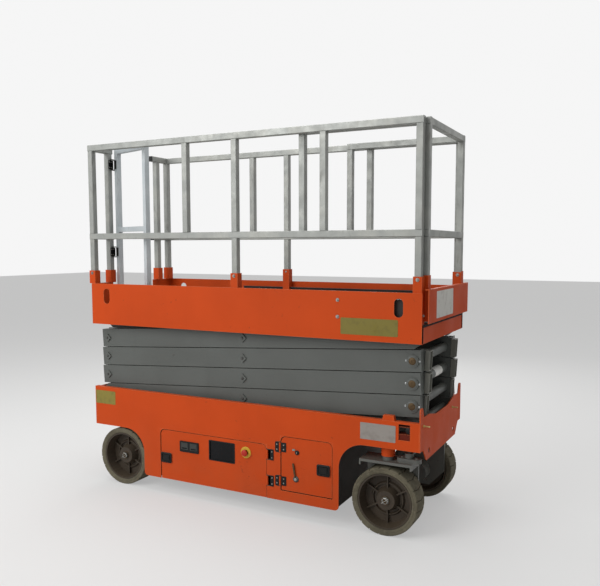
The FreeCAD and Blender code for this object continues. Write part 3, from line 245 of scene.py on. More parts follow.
orangeLook = {"roughness": 0.5, "specular": 0.12, "cloudSize": 2.4, "cloud": 0.4, "runs": 0.25, "dustHeight": 0.5,
              "dust": 0.26, "topDust": 0.3, "scuffs": 0.5, "scuffColour": (104, 52, 34),
              "edgeWidth": 0.004, "wornEdgeAndHighlight": 0.75, "wornEdgeAndHighlightColour": (208, 126, 84)}
greyLook = {"roughness": 0.42, "specular": 0.4, "cloudSize": 3.0, "cloud": 0.4, "runs": 0.3, "dustHeight": 0.3,
            "dust": 0.35, "topDust": 0.4, "scuffs": 0.45, "scuffColour": (58, 56, 52),
            "edgeWidth": 0.003, "wornEdgeAndHighlight": 0.5, "wornEdgeAndHighlightColour": (126, 128, 124)}
darkLook = {"roughness": 0.55, "specular": 0.35, "cloudSize": 4.0, "cloud": 0.4, "runs": 0.2, "dustHeight": 0.6,
            "dust": 0.35, "topDust": 0.4, "scuffs": 0.4, "scuffColour": (84, 78, 70),
            "edgeWidth": 0.003, "wornEdgeAndHighlight": 0.35, "wornEdgeAndHighlightColour": (96, 90, 80)}

# colour, fading, dust
orangePaint = sprayedPaint("orangePaint", (199, 73, 23), (172, 62, 21), (144, 92, 64), orangeLook)
# the chassis tracks' orange, darkened to a dark red as painted shade inside the chassis
orangeInPaintedShade = sprayedPaint("orangeInPaintedShade", (98, 34, 20), (72, 26, 16), (104, 62, 46), orangeLook)
armEnamel = sprayedPaint("armEnamel", (90, 93, 90), (72, 74, 70), (118, 114, 104), greyLook)
# painted light: a paler grey than the arms, so that the inner arms' ends, which lie in shade, look lit
armEndGreyWithPaintedLight = sprayedPaint("armEndGreyWithPaintedLight", (124, 124, 116), (92, 92, 85), (116, 112, 102), greyLook)
# the knuckles' own grey, lightened as painted light on the legs that the tyres shade
knuckleGreyWithPaintedLight = sprayedPaint("knuckleGreyWithPaintedLight", (96, 97, 93), (70, 70, 65), (104, 96, 84), greyLook)
darkPaint = sprayedPaint("darkPaint", (38, 35, 32), (26, 24, 22), (84, 74, 62), darkLook)
discPaint = sprayedPaint("discPaint", (56, 47, 37), (38, 32, 25), (88, 76, 60), darkLook)


def galvanisedCoat(name, colour, flake, bloom):
    f = Finish(name, colour, 0.55, 0.35)
    spangle = f.add("ShaderNodeTexVoronoi", {"Vector": f.coords, "Scale": 95.0})
    split = f.add("ShaderNodeSeparateColor", {0: spangle.outputs["Color"]})
    f.layer(f.ramp(split.outputs[0], 0.0, 1.0, 0.0, 0.22), flake)
    f.clouds(7.0, 5.0, 0.45, 0.72, 0.55, bloom)
    f.clouds(24.0, 6.0, 0.6, 0.76, 0.6, (104, 104, 97), (1, 1, 0.35))
    f.rough(18.0, 4.0, 0.36, 0.6)
    f.bump(120.0, 3.0, 0.08, 0.0008)
    return f.done()


def solidRubber():
    f = Finish("solidRubber", (106, 101, 84), 0.85, specular=0.2)
    f.clouds(9.0, 6.0, 0.35, 0.7, 0.65, (74, 69, 58))
    f.clouds(40.0, 5.0, 0.52, 0.7, 0.5, (124, 117, 99))
    f.clouds(85.0, 3.0, 0.66, 0.72, 0.5, (52, 48, 41))
    f.rough(14.0, 4.0, 0.76, 0.94)
    f.bump(150.0, 4.0, 0.25, 0.0012)
    return f.done()


def mouldedPlastic(name, colour, pale, specular=0.25):
    f = Finish(name, colour, 0.48, specular=specular)
    f.clouds(16.0, 5.0, 0.5, 0.75, 0.35, pale)
    f.rough(22.0, 3.0, 0.36, 0.6)
    f.bump(420.0, 2.0, 0.15, 0.0003)
    return f.done()


def turnedSteel(name, colour, roughness, stain):
    f = Finish(name, colour, roughness, 0.9)
    f.clouds(60.0, 4.0, 0.52, 0.72, 0.6, stain)
    f.rough(45.0, 4.0, roughness - 0.08, roughness + 0.15)
    f.bump(300.0, 2.0, 0.08, 0.0003, (1, 1, 6))
    return f.done()


def printedFilm(name, colour, worn):
    f = Finish(name, colour, 0.4, specular=0.35)
    f.clouds(26.0, 6.0, 0.5, 0.72, 0.45, worn)
    f.rough(12.0, 3.0, 0.32, 0.55)
    f.bump(90.0, 2.0, 0.05, 0.0004)
    return f.done()


def darkGlass():
    f = Finish("darkGlass", (8, 9, 12), 0.16, specular=0.2)
    f.clouds(7.0, 4.0, 0.5, 0.8, 0.3, (26, 28, 34))
    f.rough(9.0, 4.0, 0.12, 0.34)
    return f.done()


def deckTread():  # galvanised sheet, trodden and dusty
    f = Finish("deckTread", (140, 141, 136), 0.5, 0.45)
    f.clouds(5.0, 5.0, 0.4, 0.7, 0.6, (112, 110, 103))
    f.clouds(30.0, 5.0, 0.58, 0.72, 0.5, (88, 82, 72))
    f.rough(18.0, 4.0, 0.42, 0.66)
    f.bump(140.0, 3.0, 0.1, 0.0008)
    return f.done()


galvanised = galvanisedCoat("galvanised", (146, 148, 144), (128, 132, 130), (170, 170, 163))
newSteel = galvanisedCoat("newSteel", (192, 199, 202), (172, 180, 184), (212, 217, 219))
rubber = solidRubber()
treadSheet = deckTread()
blackPlastic = mouldedPlastic("blackPlastic", (14, 15, 15), (36, 35, 33))
greyPlastic = mouldedPlastic("greyPlastic", (58, 60, 58), (82, 80, 74))
casePlastic = mouldedPlastic("casePlastic", (40, 40, 42), (84, 80, 74))
# a near black with almost no sheen, used as painted shadow under the toe board
shadowStripDark = mouldedPlastic("shadowStripDark", (24, 14, 10), (44, 30, 24), 0.03)
redPlastic = mouldedPlastic("redPlastic", (178, 44, 34), (196, 88, 70))
yellowPlastic = mouldedPlastic("yellowPlastic", (204, 166, 58), (174, 146, 80))
boltSteel = turnedSteel("boltSteel", (150, 150, 146), 0.38, (96, 84, 70))
darkSteel = turnedSteel("darkSteel", (86, 86, 84), 0.45, (52, 48, 44))
pinSteel = turnedSteel("pinSteel", (90, 74, 54), 0.55, (56, 46, 34))
chromedRod = turnedSteel("chromedRod", (196, 198, 200), 0.16, (150, 150, 150))
zincYellow = turnedSteel("zincYellow", (188, 168, 110), 0.4, (128, 104, 64))
labelYellow = printedFilm("labelYellow", (132, 120, 50), (92, 86, 42))
labelOlive = printedFilm("labelOlive", (120, 109, 44), (94, 86, 40))
labelGrey = printedFilm("labelGrey", (146, 140, 134), (112, 102, 96))
labelPale = printedFilm("labelPale", (208, 206, 199), (170, 162, 154))
paperWhite = printedFilm("paperWhite", (238, 237, 232), (206, 202, 194))
windowGlass = darkGlass()
print("finishes mixed:", len(bpy.data.materials))


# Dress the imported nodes

nodeFinishes = [
    (orangePaint, ["side_plates", "chassis_end_plates", "skirts", "platform_end_panels", "post_sockets",
                   "extension_sockets", "extension_toe_board", "front_axle_beam", "chassis_deck",
                   "door_rear_left", "door_rear_right", "door_front_left", "door_front_right"]),
    # painted shade: the tracks inside the chassis get a darkened orange
    (orangeInPaintedShade, ["chassis_tracks"]),
    (armEnamel, ["%s_arm_%d" % (kind, level) for kind in ("outer", "inner") for level in (1, 2, 3, 4)]),
    # the knuckles' grey is lightened partly as painted light
    (knuckleGreyWithPaintedLight, ["knuckle_left", "knuckle_right", "tie_rod"]),
    (darkPaint, ["bay_walls", "rear_axle", "arm_pivot_brackets", "platform_pivot_brackets", "platform_tracks",
                 "gate_hinge_lugs", "door_hinge_pins", "lift_barrel", "control_fittings", "service_fittings"]),
    (galvanised, ["guard_rails", "guard_rail_posts", "extension_rails", "extension_posts"]),
    (newSteel, ["gate_frame"]),
    (treadSheet, ["platform_floor", "extension_floor"]),
    (chromedRod, ["lift_rod"]),
    (casePlastic, ["battery_block", "hydraulic_block"]),
    (discPaint, ["hub_%s_%s" % wheel for wheel in wheelPlaces]),
    (rubber, ["tyre_%s_%s" % wheel for wheel in wheelPlaces]),
]

for finish, names in nodeFinishes:
    for name in names:
        mesh = nodes[name].data
        mesh.materials.clear()
        mesh.materials.append(finish)
print("nodes dressed")


# Small tools that the added pieces are made with

def addPiece(name, mesh, body, slot, *finishes):
    piece = newObject(name, mesh)
    for finish in finishes:
        mesh.materials.append(finish)
    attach(piece, body)
    return piece


def softenShading(mesh, degrees=35):
    for face in mesh.polygons:
        face.use_smooth = True
    mesh.set_sharp_from_angle(angle=math.radians(degrees))


def plainMesh(name, bm):
    mesh = bpy.data.meshes.new(name)
    bm.to_mesh(mesh)
    bm.free()
    return mesh


def addSolid(name, bm, body, slot, *finishes, smooth=True):
    # welds what was built, turns its faces outwards and makes a piece of it
    bmesh.ops.remove_doubles(bm, verts=bm.verts, dist=1e-6)
    bmesh.ops.recalc_face_normals(bm, faces=bm.faces)
    mesh = plainMesh(name, bm)
    if smooth:
        softenShading(mesh)
    return addPiece(name, mesh, body, slot, *finishes)


wallFrames = {
    # facing: (across, up, out) seen by someone who stands in front of that face
    "right": (Vector((1, 0, 0)), Vector((0, 0, 1)), Vector((0, -1, 0))),
    "left": (Vector((-1, 0, 0)), Vector((0, 0, 1)), Vector((0, 1, 0))),
    "front": (Vector((0, 1, 0)), Vector((0, 0, 1)), Vector((1, 0, 0))),
    "rear": (Vector((0, -1, 0)), Vector((0, 0, 1)), Vector((-1, 0, 0))),
    "top": (Vector((1, 0, 0)), Vector((0, 1, 0)), Vector((0, 0, 1))),
}


def wallMatrix(place, facing):
    return Matrix.Translation(place) @ Matrix(wallFrames[facing]).transposed().to_4x4()


def roundedOutline(width, height, radius, steps=5):
    points = []
    for cx, cy, start in ((1, 1, 0), (-1, 1, 90), (-1, -1, 180), (1, -1, 270)):
        for i in range(steps + 1):
            a = math.radians(start + 90 * i / steps)
            points.append((cx * (width / 2 - radius) + radius * math.cos(a),
                           cy * (height / 2 - radius) + radius * math.sin(a)))
    return points


def addRing(bm, points, matrix=Matrix()):
    return [bm.verts.new(matrix @ Vector(point)) for point in points]


def addLoft(bm, outlines, matrix=Matrix(), material=0, ends=(0, -1)):
    # a skin over outlines of equal length, closed by a face at the ends that are named
    rings = [addRing(bm, points, matrix) for points in outlines]
    for lower, upper in zip(rings, rings[1:]):
        for i in range(len(lower)):
            k = (i + 1) % len(lower)
            bm.faces.new((lower[i], lower[k], upper[k], upper[i])).material_index = material
    for end in ends:
        bm.faces.new(rings[end]).material_index = material
    return rings


def atDepths(rows):
    return [[(x, y, depth) for x, y in outline] for outline, depth in rows]


def addPad(bm, outline, low, high, bevel, matrix, material=0):
    # a slab over an outline, from depth low to high, with its outer edge eased
    middle = Vector((sum(p[0] for p in outline), sum(p[1] for p in outline))) / len(outline)
    eased = [Vector(p) - (Vector(p) - middle).normalized() * bevel for p in outline]
    addLoft(bm, atDepths([(outline, low), (outline, high - bevel), (eased, high)]), matrix, material)


def addPads(name, body, slot, finish, pads, depths):
    # one piece of several pads, as rows of width, height, corner, middle and facing
    bm = bmesh.new()
    for width, height, corner, middle, facing in pads:
        addPad(bm, roundedOutline(width, height, corner), *depths, wallMatrix(middle, facing))
    return addSolid(name, bm, body, slot, finish)


def addTurned(bm, section, matrix, sides=24, material=0):
    # section is (radius, height), from the bottom centre up to the top centre
    turns = [2 * math.pi * i / sides for i in range(sides)]
    rings = [addRing(bm, [(r * math.cos(a), r * math.sin(a), z) for a in turns] if r > 0 else [(0, 0, z)], matrix)
             for r, z in section]
    for lower, upper in zip(rings, rings[1:]):
        for i in range(sides):
            k = (i + 1) % sides
            corners = [lower[i % len(lower)], lower[k % len(lower)], upper[k % len(upper)], upper[i % len(upper)]]
            face = [v for n, v in enumerate(corners) if v not in corners[:n]]
            if len(face) > 2:
                bm.faces.new(face).material_index = material


def disc(radius, low, high):
    return [(0, low), (radius, low), (radius, high), (0, high)]


def addBlock(bm, xs, ys, zs, matrix=Matrix()):
    place = Matrix.Translation([(a + b) / 2 for a, b in (xs, ys, zs)])
    size = Matrix.Diagonal([b - a for a, b in (xs, ys, zs)] + [1.0])
    bmesh.ops.create_cube(bm, size=1.0, matrix=matrix @ place @ size)


# Geometry Nodes: a fresh tree with named inputs, its last steps, and the call that turns its result into a plain mesh

def newTree(name, inputs):
    tree = bpy.data.node_groups.new(name, "GeometryNodeTree")
    for label, kind, value in [("Geometry", "Geometry", None), ("Finish", "Material", None)] + inputs:
        socket = tree.interface.new_socket(label, in_out="INPUT", socket_type="NodeSocket" + kind)
        if value is not None:
            socket.default_value = value
    tree.interface.new_socket("Geometry", in_out="OUTPUT", socket_type="NodeSocketGeometry")
    return tree, tree.nodes.new("NodeGroupInput").outputs


def stampCopies(tree, points, shape, turn, size=None):
    copies = addNode(tree, "GeometryNodeInstanceOnPoints", {"Points": points, "Instance": shape, "Rotation": turn})
    if size is not None:
        tree.links.new(size, copies.inputs["Scale"])
    return addNode(tree, "GeometryNodeRealizeInstances", {0: copies.outputs[0]}).outputs[0]


def paintResult(tree, given, result):
    paint = addNode(tree, "GeometryNodeSetMaterial", {0: result, "Material": given["Finish"]})
    addNode(tree, "NodeGroupOutput", {0: paint.outputs[0]})
    return tree


def growMesh(name, seed, tree, values):
    holder = newObject(name + "Seed", seed)
    modifier = holder.modifiers.new("growth", "NODES")
    modifier.node_group = tree
    for item in tree.interface.items_tree:
        if item.item_type == "SOCKET" and item.in_out == "INPUT" and item.name in values:
            modifier[item.identifier] = values[item.name]
    graph = bpy.context.evaluated_depsgraph_get()
    mesh = bpy.data.meshes.new_from_object(holder.evaluated_get(graph))
    holder.modifiers.remove(modifier)
    bpy.data.objects.remove(holder)
    mesh.name = name
    return mesh


def ringTree():  # copies a sector round the Y axis, joins the copies and moves them to the axle
    tree, given = newTree("ringOfSectors", [("Sectors", "Int", 36), ("Axle", "Vector", (0, 0, 0))])
    line = addNode(tree, "GeometryNodeMeshLine", {"Count": given["Sectors"], "Offset": (0, 0, 0)})
    index = addNode(tree, "GeometryNodeInputIndex")
    turn = addNode(tree, "ShaderNodeMath", {0: index.outputs[0], 1: given["Sectors"]}, operation="DIVIDE")
    angle = addNode(tree, "ShaderNodeMath", {0: turn.outputs[0], 1: 2 * math.pi}, operation="MULTIPLY")
    spin = addNode(tree, "ShaderNodeCombineXYZ", {"Y": angle.outputs[0]})
    ring = stampCopies(tree, line.outputs[0], given["Geometry"], spin.outputs[0])
    weld = addNode(tree, "GeometryNodeMergeByDistance", {0: ring, "Distance": 0.00005})
    move = addNode(tree, "GeometryNodeTransform", {0: weld.outputs[0], "Translation": given["Axle"]})
    return paintResult(tree, given, move.outputs[0])


def boltTree():  # washer, head and shank tip on every seed point, turned to the point's own direction
    tree, given = newTree("boltHeads", [("Head Sides", "Int", 6), ("Head Radius", "Float", 1.0),
                                        ("Head Height", "Float", 0.75), ("Washer Radius", "Float", 1.45),
                                        ("Washer Height", "Float", 0.22), ("Tip Radius", "Float", 0.5),
                                        ("Tip Height", "Float", 0.3)])

    def worked(how, a, b):
        return addNode(tree, "ShaderNodeMath", {0: a, 1: b}, operation=how).outputs[0]

    def cone(sides, radius, slope, height, foot):  # slope is the top's share of the foot's radius
        shape = addNode(tree, "GeometryNodeMeshCone", {"Vertices": sides, "Radius Bottom": radius, "Depth": height,
                                                       "Radius Top": worked("MULTIPLY", radius, slope)})
        lift = addNode(tree, "ShaderNodeCombineXYZ", {"Z": foot})
        return addNode(tree, "GeometryNodeTransform", {0: shape.outputs["Mesh"], "Translation": lift.outputs[0]})

    shank = worked("MULTIPLY", given["Head Height"], 0.72)
    crown = worked("MULTIPLY", given["Head Height"], 0.28)
    crownFoot = worked("ADD", given["Washer Height"], shank)
    tipFoot = worked("ADD", crownFoot, crown)
    join = addNode(tree, "GeometryNodeJoinGeometry")
    for part in (cone(16, given["Washer Radius"], 0.93, given["Washer Height"], 0.0),
                 cone(given["Head Sides"], given["Head Radius"], 1.0, shank, given["Washer Height"]),
                 cone(given["Head Sides"], given["Head Radius"], 0.8, crown, crownFoot),
                 cone(10, given["Tip Radius"], 0.85, given["Tip Height"], tipFoot)):
        tree.links.new(part.outputs[0], join.inputs[0])
    facing = addNode(tree, "GeometryNodeInputNamedAttribute", {0: "facing"}, data_type="FLOAT_VECTOR")
    size = addNode(tree, "GeometryNodeInputNamedAttribute", {0: "size"}, data_type="FLOAT")
    align = addNode(tree, "FunctionNodeAlignRotationToVector", {"Vector": facing.outputs[0]}, axis="Z")
    points = addNode(tree, "GeometryNodeMeshToPoints", {0: given["Geometry"]})
    bolts = stampCopies(tree, points.outputs[0], join.outputs[0], align.outputs[0], size.outputs[0])
    return paintResult(tree, given, bolts)


def barTree():  # raised tread bars on a grid, every second one turned the other way
    tree, given = newTree("treadBars", [("Length", "Float", 1.0), ("Width", "Float", 1.0), ("Rows", "Int", 5),
                                        ("Columns", "Int", 5), ("Middle", "Vector", (0, 0, 0)),
                                        ("Bar", "Vector", (0.015, 0.004, 0.0014))])
    grid = addNode(tree, "GeometryNodeMeshGrid", {"Size X": given["Length"], "Size Y": given["Width"],
                                                  "Vertices X": given["Columns"], "Vertices Y": given["Rows"]})
    place = addNode(tree, "GeometryNodeTransform", {0: grid.outputs["Mesh"], "Translation": given["Middle"]})
    bar = addNode(tree, "GeometryNodeMeshCone", {"Vertices": 6, "Radius Bottom": 1.0, "Radius Top": 0.7, "Depth": 1.0})
    index = addNode(tree, "GeometryNodeInputIndex")
    odd = addNode(tree, "ShaderNodeMath", {0: index.outputs[0], 1: 2.0}, operation="MODULO")
    turn = addNode(tree, "ShaderNodeMath", {0: odd.outputs[0], 1: math.pi / 2, 2: math.pi / 4},
                   operation="MULTIPLY_ADD")
    spin = addNode(tree, "ShaderNodeCombineXYZ", {"Z": turn.outputs[0]})
    bars = stampCopies(tree, place.outputs[0], bar.outputs["Mesh"], spin.outputs[0], given["Bar"])
    return paintResult(tree, given, bars)


sectorRing = ringTree()
boltHeads = boltTree()
treadBars = barTree()
roundHead = {"Head Sides": 14, "Head Height": 0.55, "Washer Radius": 1.3, "Washer Height": 0.12, "Tip Radius": 0.45,
             "Tip Height": 0.08}


def addBolts(name, body, slot, finish, spots, values=None):
    # spots are (place, facing, radius of the head in metres)
    seed = bpy.data.meshes.new(name + "Spots")
    seed.from_pydata([place for place, facing, size in spots], [], [])
    seed.attributes.new("facing", "FLOAT_VECTOR", "POINT")
    seed.attributes.new("size", "FLOAT", "POINT")
    for i, (place, facing, size) in enumerate(spots):
        seed.attributes["facing"].data[i].vector = wallFrames[facing][2]
        seed.attributes["size"].data[i].value = size
    mesh = growMesh(name, seed, boltHeads, dict(values or {}, Finish=finish))
    for attribute in ("facing", "size"):
        if attribute in mesh.attributes:
            mesh.attributes.remove(mesh.attributes[attribute])
    softenShading(mesh, 30)
    return addPiece(name, mesh, body, slot)


# Tyres: one lug of the tread with the bent groove behind it, and a castle nut in the middle of each disc

tyreShape = {"lugs": 20, "grooveFrom": 8.4, "grooveTo": 10.1, "grooveShift": -2.6, "bendOuter": 0.044,
             "bendInner": 0.008, "slope": 0.25, "before": (0.0, 2.4, 4.8), "after": (12.6, 15.3, 18.0),
             # half of the section, from the bead to the middle: across, radius, groove depth
             "section": [(0.0535, 0.1562, 0), (0.0600, 0.1580, 0), (0.0622, 0.1625, 0), (0.0622, 0.1655, 0),
                         (0.0635, 0.1668, 0), (0.0635, 0.1700, 0), (0.0625, 0.1712, 0), (0.0627, 0.1775, 0),
                         (0.0635, 0.1795, 0), (0.0635, 0.1860, 0.0045), (0.0622, 0.1890, 0.0050),
                         (0.0590, 0.1905, 0.0055), (0.0500, 0.1905, 0.0055), (0.0440, 0.1905, 0.0055),
                         (0.0260, 0.1905, 0.0055), (0.0080, 0.1905, 0.0050)]}


def tyreSector(look):
    # rows of points across the tyre at each station of the sector; the axle is the Y axis
    section = [(-y, r, d) for y, r, d in look["section"]] + [(y, r, d) for y, r, d in reversed(look["section"])]
    bend = look["bendOuter"] - look["bendInner"]
    before, after = look["before"], look["after"]
    rows = []
    for station in range(len(before) + 4 + len(after)):
        row = []
        for y, r, depth in section:
            shift = look["grooveShift"] * min(1.0, max(0.0, (look["bendOuter"] - abs(y)) / bend))
            first, last = look["grooveFrom"] + shift, look["grooveTo"] + shift
            angle = (before + (first, first + look["slope"], last - look["slope"], last) + after)[station]
            radius = r - depth if station in (len(before) + 1, len(before) + 2) else r
            a = math.radians(angle)
            row.append((radius * math.sin(a), y, -radius * math.cos(a)))
        rows.append(row)
    bm = bmesh.new()
    addLoft(bm, rows, ends=())
    return plainMesh("tyreSector", bm)


hubNut = {"bossDepth": 0.022, "washer": 0.026, "washerHeight": 0.003, "nut": 0.020, "nutHeight": 0.012,
          "bore": 0.013, "pin": 0.0024, "pinReach": 0.024}


def dressWheel(place, side):
    tyreName, hubName = "tyre_%s_%s" % (place, side), "hub_%s_%s" % (place, side)
    low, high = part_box(tyreName)
    axle = (low + high) / 2
    body = "wheel_%s_%s" % (place, side)
    mesh = growMesh("tread_%s_%s" % (place, side), tyreSector(tyreShape), sectorRing,
                    {"Sectors": tyreShape["lugs"], "Axle": axle, "Finish": rubber})
    bm = bmesh.new()
    bm.from_mesh(mesh)
    bmesh.ops.recalc_face_normals(bm, faces=bm.faces)
    bm.to_mesh(mesh)
    bm.free()
    softenShading(mesh, 28)
    piece = addPiece("tread_%s_%s" % (place, side), mesh, body, "tyre_rubber")
    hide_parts(tyreName)
    # washer, castle nut, the spindle's end in it, and the split pin's eye and legs
    hubLow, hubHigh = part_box(hubName)
    boss = hubHigh.y - hubNut["bossDepth"] if side == "left" else hubLow.y + hubNut["bossDepth"]
    m = wallMatrix((axle.x, boss, axle.z), side)
    washer, nut, bore, foot = hubNut["washer"], hubNut["nut"], hubNut["bore"], hubNut["washerHeight"]
    top = foot + hubNut["nutHeight"]
    bm = bmesh.new()
    addTurned(bm, [(0, 0), (washer, 0), (washer - 0.001, foot), (0, foot)], m, 28, 0)
    addTurned(bm, [(0.006, foot), (nut, foot), (nut, top - 0.002), (nut - 0.003, top), (bore + 0.0005, top),
                   (bore, top - 0.005)], m, 6, 1)
    addTurned(bm, [(0, foot), (bore - 0.0002, foot), (bore - 0.0002, top - 0.005), (bore - 0.002, top - 0.003),
                   (0, top - 0.003)], m, 20, 0)
    for turn, reach, material in ((35, hubNut["pinReach"], 1), (125, nut, 0)):
        lay = m @ Matrix.Rotation(math.radians(turn), 4, "Z") @ Matrix.Translation((0, 0, top - 0.0005))
        addTurned(bm, disc(hubNut["pin"], -reach, reach), lay @ Matrix.Rotation(math.radians(90), 4, "Y"), 8, material)
    addSolid("hubNut_%s_%s" % (place, side), bm, body, "wheel_disc", pinSteel, boltSteel)


for place, side in wheelPlaces:
    dressWheel(place, side)
print("wheels dressed")


# Blank plates and labels

blankPlate = {"depths": (0.0, 0.0012, 0.00048), "rows": [
    # name, body, finish, and width, height, corner, middle and facing
    ("skirtLabel", "platform", labelOlive, (0.330, 0.091, 0.006, (0.840, -0.420, 1.1505), "right")),
    ("chassisLabel", "chassis", labelYellow, (0.169, 0.089, 0.006, (-1.0425, -0.415, 0.5795), "right")),
    ("chassisPlate", "chassis", labelGrey, (0.204, 0.093, 0.005, (0.895, -0.415, 0.5785), "right")),
    ("toeBoardPlate", "extension", labelPale, (0.330, 0.146, 0.005, (1.168, -0.104, 1.271), "front")),
]}

for name, body, finish, pad in blankPlate["rows"]:
    addPads(name, body, "orange_paint", finish, [pad], blankPlate["depths"])
print("blank plates on")


# Fittings of the doors; the controls are on the right side only

doorFace = -0.411
controlPanel = {"display": (-0.436, -0.291, 0.292, 0.361), "window": (-0.211, -0.029, 0.271, 0.390), "lap": 0.004,
                "stop": (0.054, 0.351), "stopRadius": 0.035, "buttonRadius": 0.020}


def faceRectangle(place):
    x0, x1, z0, z1 = place
    return wallMatrix(((x0 + x1) / 2, doorFace, (z0 + z1) / 2), "right"), x1 - x0, z1 - z0


def addDisplay(look):
    # a case with two meters, each with a dark slot
    m, width, height = faceRectangle(look["display"])
    bm = bmesh.new()
    addPad(bm, roundedOutline(width, height, 0.006), 0.0, 0.006, 0.0015, m, 0)
    for dx in (-0.034, 0.034):
        meter = m @ Matrix.Translation((dx, 0.004, 0))
        slot = meter @ Matrix.Translation((0, -0.013, 0))
        addPad(bm, roundedOutline(0.052, 0.044, 0.003), 0.006, 0.0075, 0.0006, meter, 1)
        addPad(bm, roundedOutline(0.040, 0.008, 0.002, 2), 0.0075, 0.0082, 0.0003, slot, 2)
    return addSolid("displayPanel", bm, "door_rear_right", "battery_plastic", blackPlastic, greyPlastic, windowGlass)


def addWindow(look):
    # a frame that laps over the opening, and the dark pane set back in it
    m, width, height = faceRectangle(look["window"])
    outer = roundedOutline(width + 2 * look["lap"], height + 2 * look["lap"], 0.006)
    inner = roundedOutline(width - 0.004, height - 0.004, 0.003)
    bm = bmesh.new()
    rings = addLoft(bm, atDepths([(outer, 0.0), (outer, 0.002), (inner, 0.002), (inner, -0.004)]), m, ends=())
    bm.faces.new(rings[-1]).material_index = 1
    mesh = plainMesh("controlWindow", bm)
    return addPiece("controlWindow", mesh, "door_rear_right", "battery_plastic", blackPlastic, windowGlass)


def addStopButton(look):
    x, z = look["stop"]
    m = wallMatrix((x, doorFace, z), "right")
    r, b = look["stopRadius"], look["buttonRadius"]
    bm = bmesh.new()
    addTurned(bm, [(0, 0), (r, 0), (r, 0.0035), (r - 0.0015, 0.005), (0, 0.005)], m, 32, 0)
    addTurned(bm, [(0, 0.005), (0.013, 0.005), (0.013, 0.016), (b - 0.003, 0.0165), (b, 0.019), (b, 0.0235),
                   (b - 0.004, 0.027), (b * 0.5, 0.0285), (0, 0.029)], m, 32, 1)
    return addSolid("stopButton", bm, "door_rear_right", "battery_plastic", yellowPlastic, redPlastic)


panel = addDisplay(controlPanel)
addWindow(controlPanel)
addStopButton(controlPanel)
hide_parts("control_fittings")

serviceFittings = {"key": (0.401, 0.396), "lever": (0.393, 0.238), "length": 0.095, "lean": 10}


def addKeySwitch(look):
    x, z = look["key"]
    m = wallMatrix((x, doorFace, z), "right")
    bm = bmesh.new()
    addTurned(bm, [(0, 0), (0.014, 0), (0.014, 0.003), (0.011, 0.006), (0.008, 0.0065), (0, 0.0065)], m, 24, 0)
    addPad(bm, roundedOutline(0.004, 0.012, 0.0015, 2), 0.0065, 0.0105, 0.0008, m, 1)
    bracket = m @ Matrix.Translation((-0.022, 0.014, 0))
    addPad(bm, roundedOutline(0.020, 0.011, 0.003, 3), 0.0, 0.003, 0.0006, bracket, 1)
    return addSolid("keySwitch", bm, "door_front_right", "battery_plastic", blackPlastic, boltSteel)


def addServiceLever(look):
    x, z = look["lever"]
    length = look["length"]
    m = wallMatrix((x, doorFace, z), "right")
    bm = bmesh.new()
    addTurned(bm, [(0, 0), (0.018, 0), (0.018, 0.004), (0.014, 0.006), (0, 0.0065)], m, 24, 1)
    addTurned(bm, [(0, 0.006), (0.010, 0.006), (0.010, 0.0105), (0.0085, 0.0115), (0, 0.0115)], m, 6, 2)
    half = [(0.0045, 0.0), (0.0055, length - 0.012), (0.004, length)]
    handle = [(-0.0045, 0.0)] + half + [(-x, y) for x, y in reversed(half[1:])]
    addPad(bm, handle, 0.006, 0.010, 0.001, m @ Matrix.Rotation(math.radians(look["lean"]), 4, "Z"))
    return addSolid("serviceLever", bm, "door_front_right", "chrome_rod", pinSteel, darkSteel, boltSteel)


addKeySwitch(serviceFittings)
lever = addServiceLever(serviceFittings)
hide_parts("service_fittings")

doorLatch = {"width": 0.083, "height": 0.066, "face": 0.415,
             "places": {"rear": (-0.542, 0.237), "front": (0.5705, 0.3165)}}


def addLatch(look, place, side, sign):
    # a rounded frame, a sunk bay and the paddle that pulls out of it
    x, z = look["places"][place]
    width, height = look["width"], look["height"]
    m = wallMatrix((x, sign * look["face"], z), side)
    outer = roundedOutline(width, height, 0.010)
    inner = roundedOutline(width - 0.016, height - 0.016, 0.006)
    bay = roundedOutline(width - 0.022, height - 0.022, 0.004)
    paddle = roundedOutline(width - 0.034, height - 0.030, 0.004)
    bm = bmesh.new()
    addLoft(bm, atDepths([(outer, 0.0), (outer, 0.004), (inner, 0.006), (bay, 0.0015)]), m, ends=(-1,))
    addPad(bm, paddle, 0.0015, 0.0055, 0.0012, m @ Matrix.Translation((0.0, 0.002, 0.0)))
    addTurned(bm, disc(0.005, 0.0055, 0.0065), m @ Matrix.Translation((width * 0.22, 0.002, 0.0)), 16)
    name = "%sLatch%s" % (place, side.capitalize())
    addSolid(name, bm, "door_%s_%s" % (place, side), "battery_plastic", blackPlastic)


for side, sign in bothSides:
    for place in doorLatch["places"]:
        addLatch(doorLatch, place, side, sign)
print("door fittings on")


# Hinge leaves of the front doors, each with two screws, and what frames the doors

hingeLeaf = {"thickness": 0.0028, "corner": 0.003, "bevel": 0.0008, "screw": 0.0034, "screwInset": 0.015,
             "door": {"x": (0.296, 0.329), "z": ((0.388, 0.444), (0.186, 0.242)), "face": 0.411},
             "frame": {"x": (0.258, 0.283), "z": ((0.386, 0.446), (0.184, 0.244)), "face": 0.415},
             "rearFrame": {"x": (0.2255, 0.2475), "z": ((0.329, 0.395), (0.171, 0.237)), "face": 0.415}}


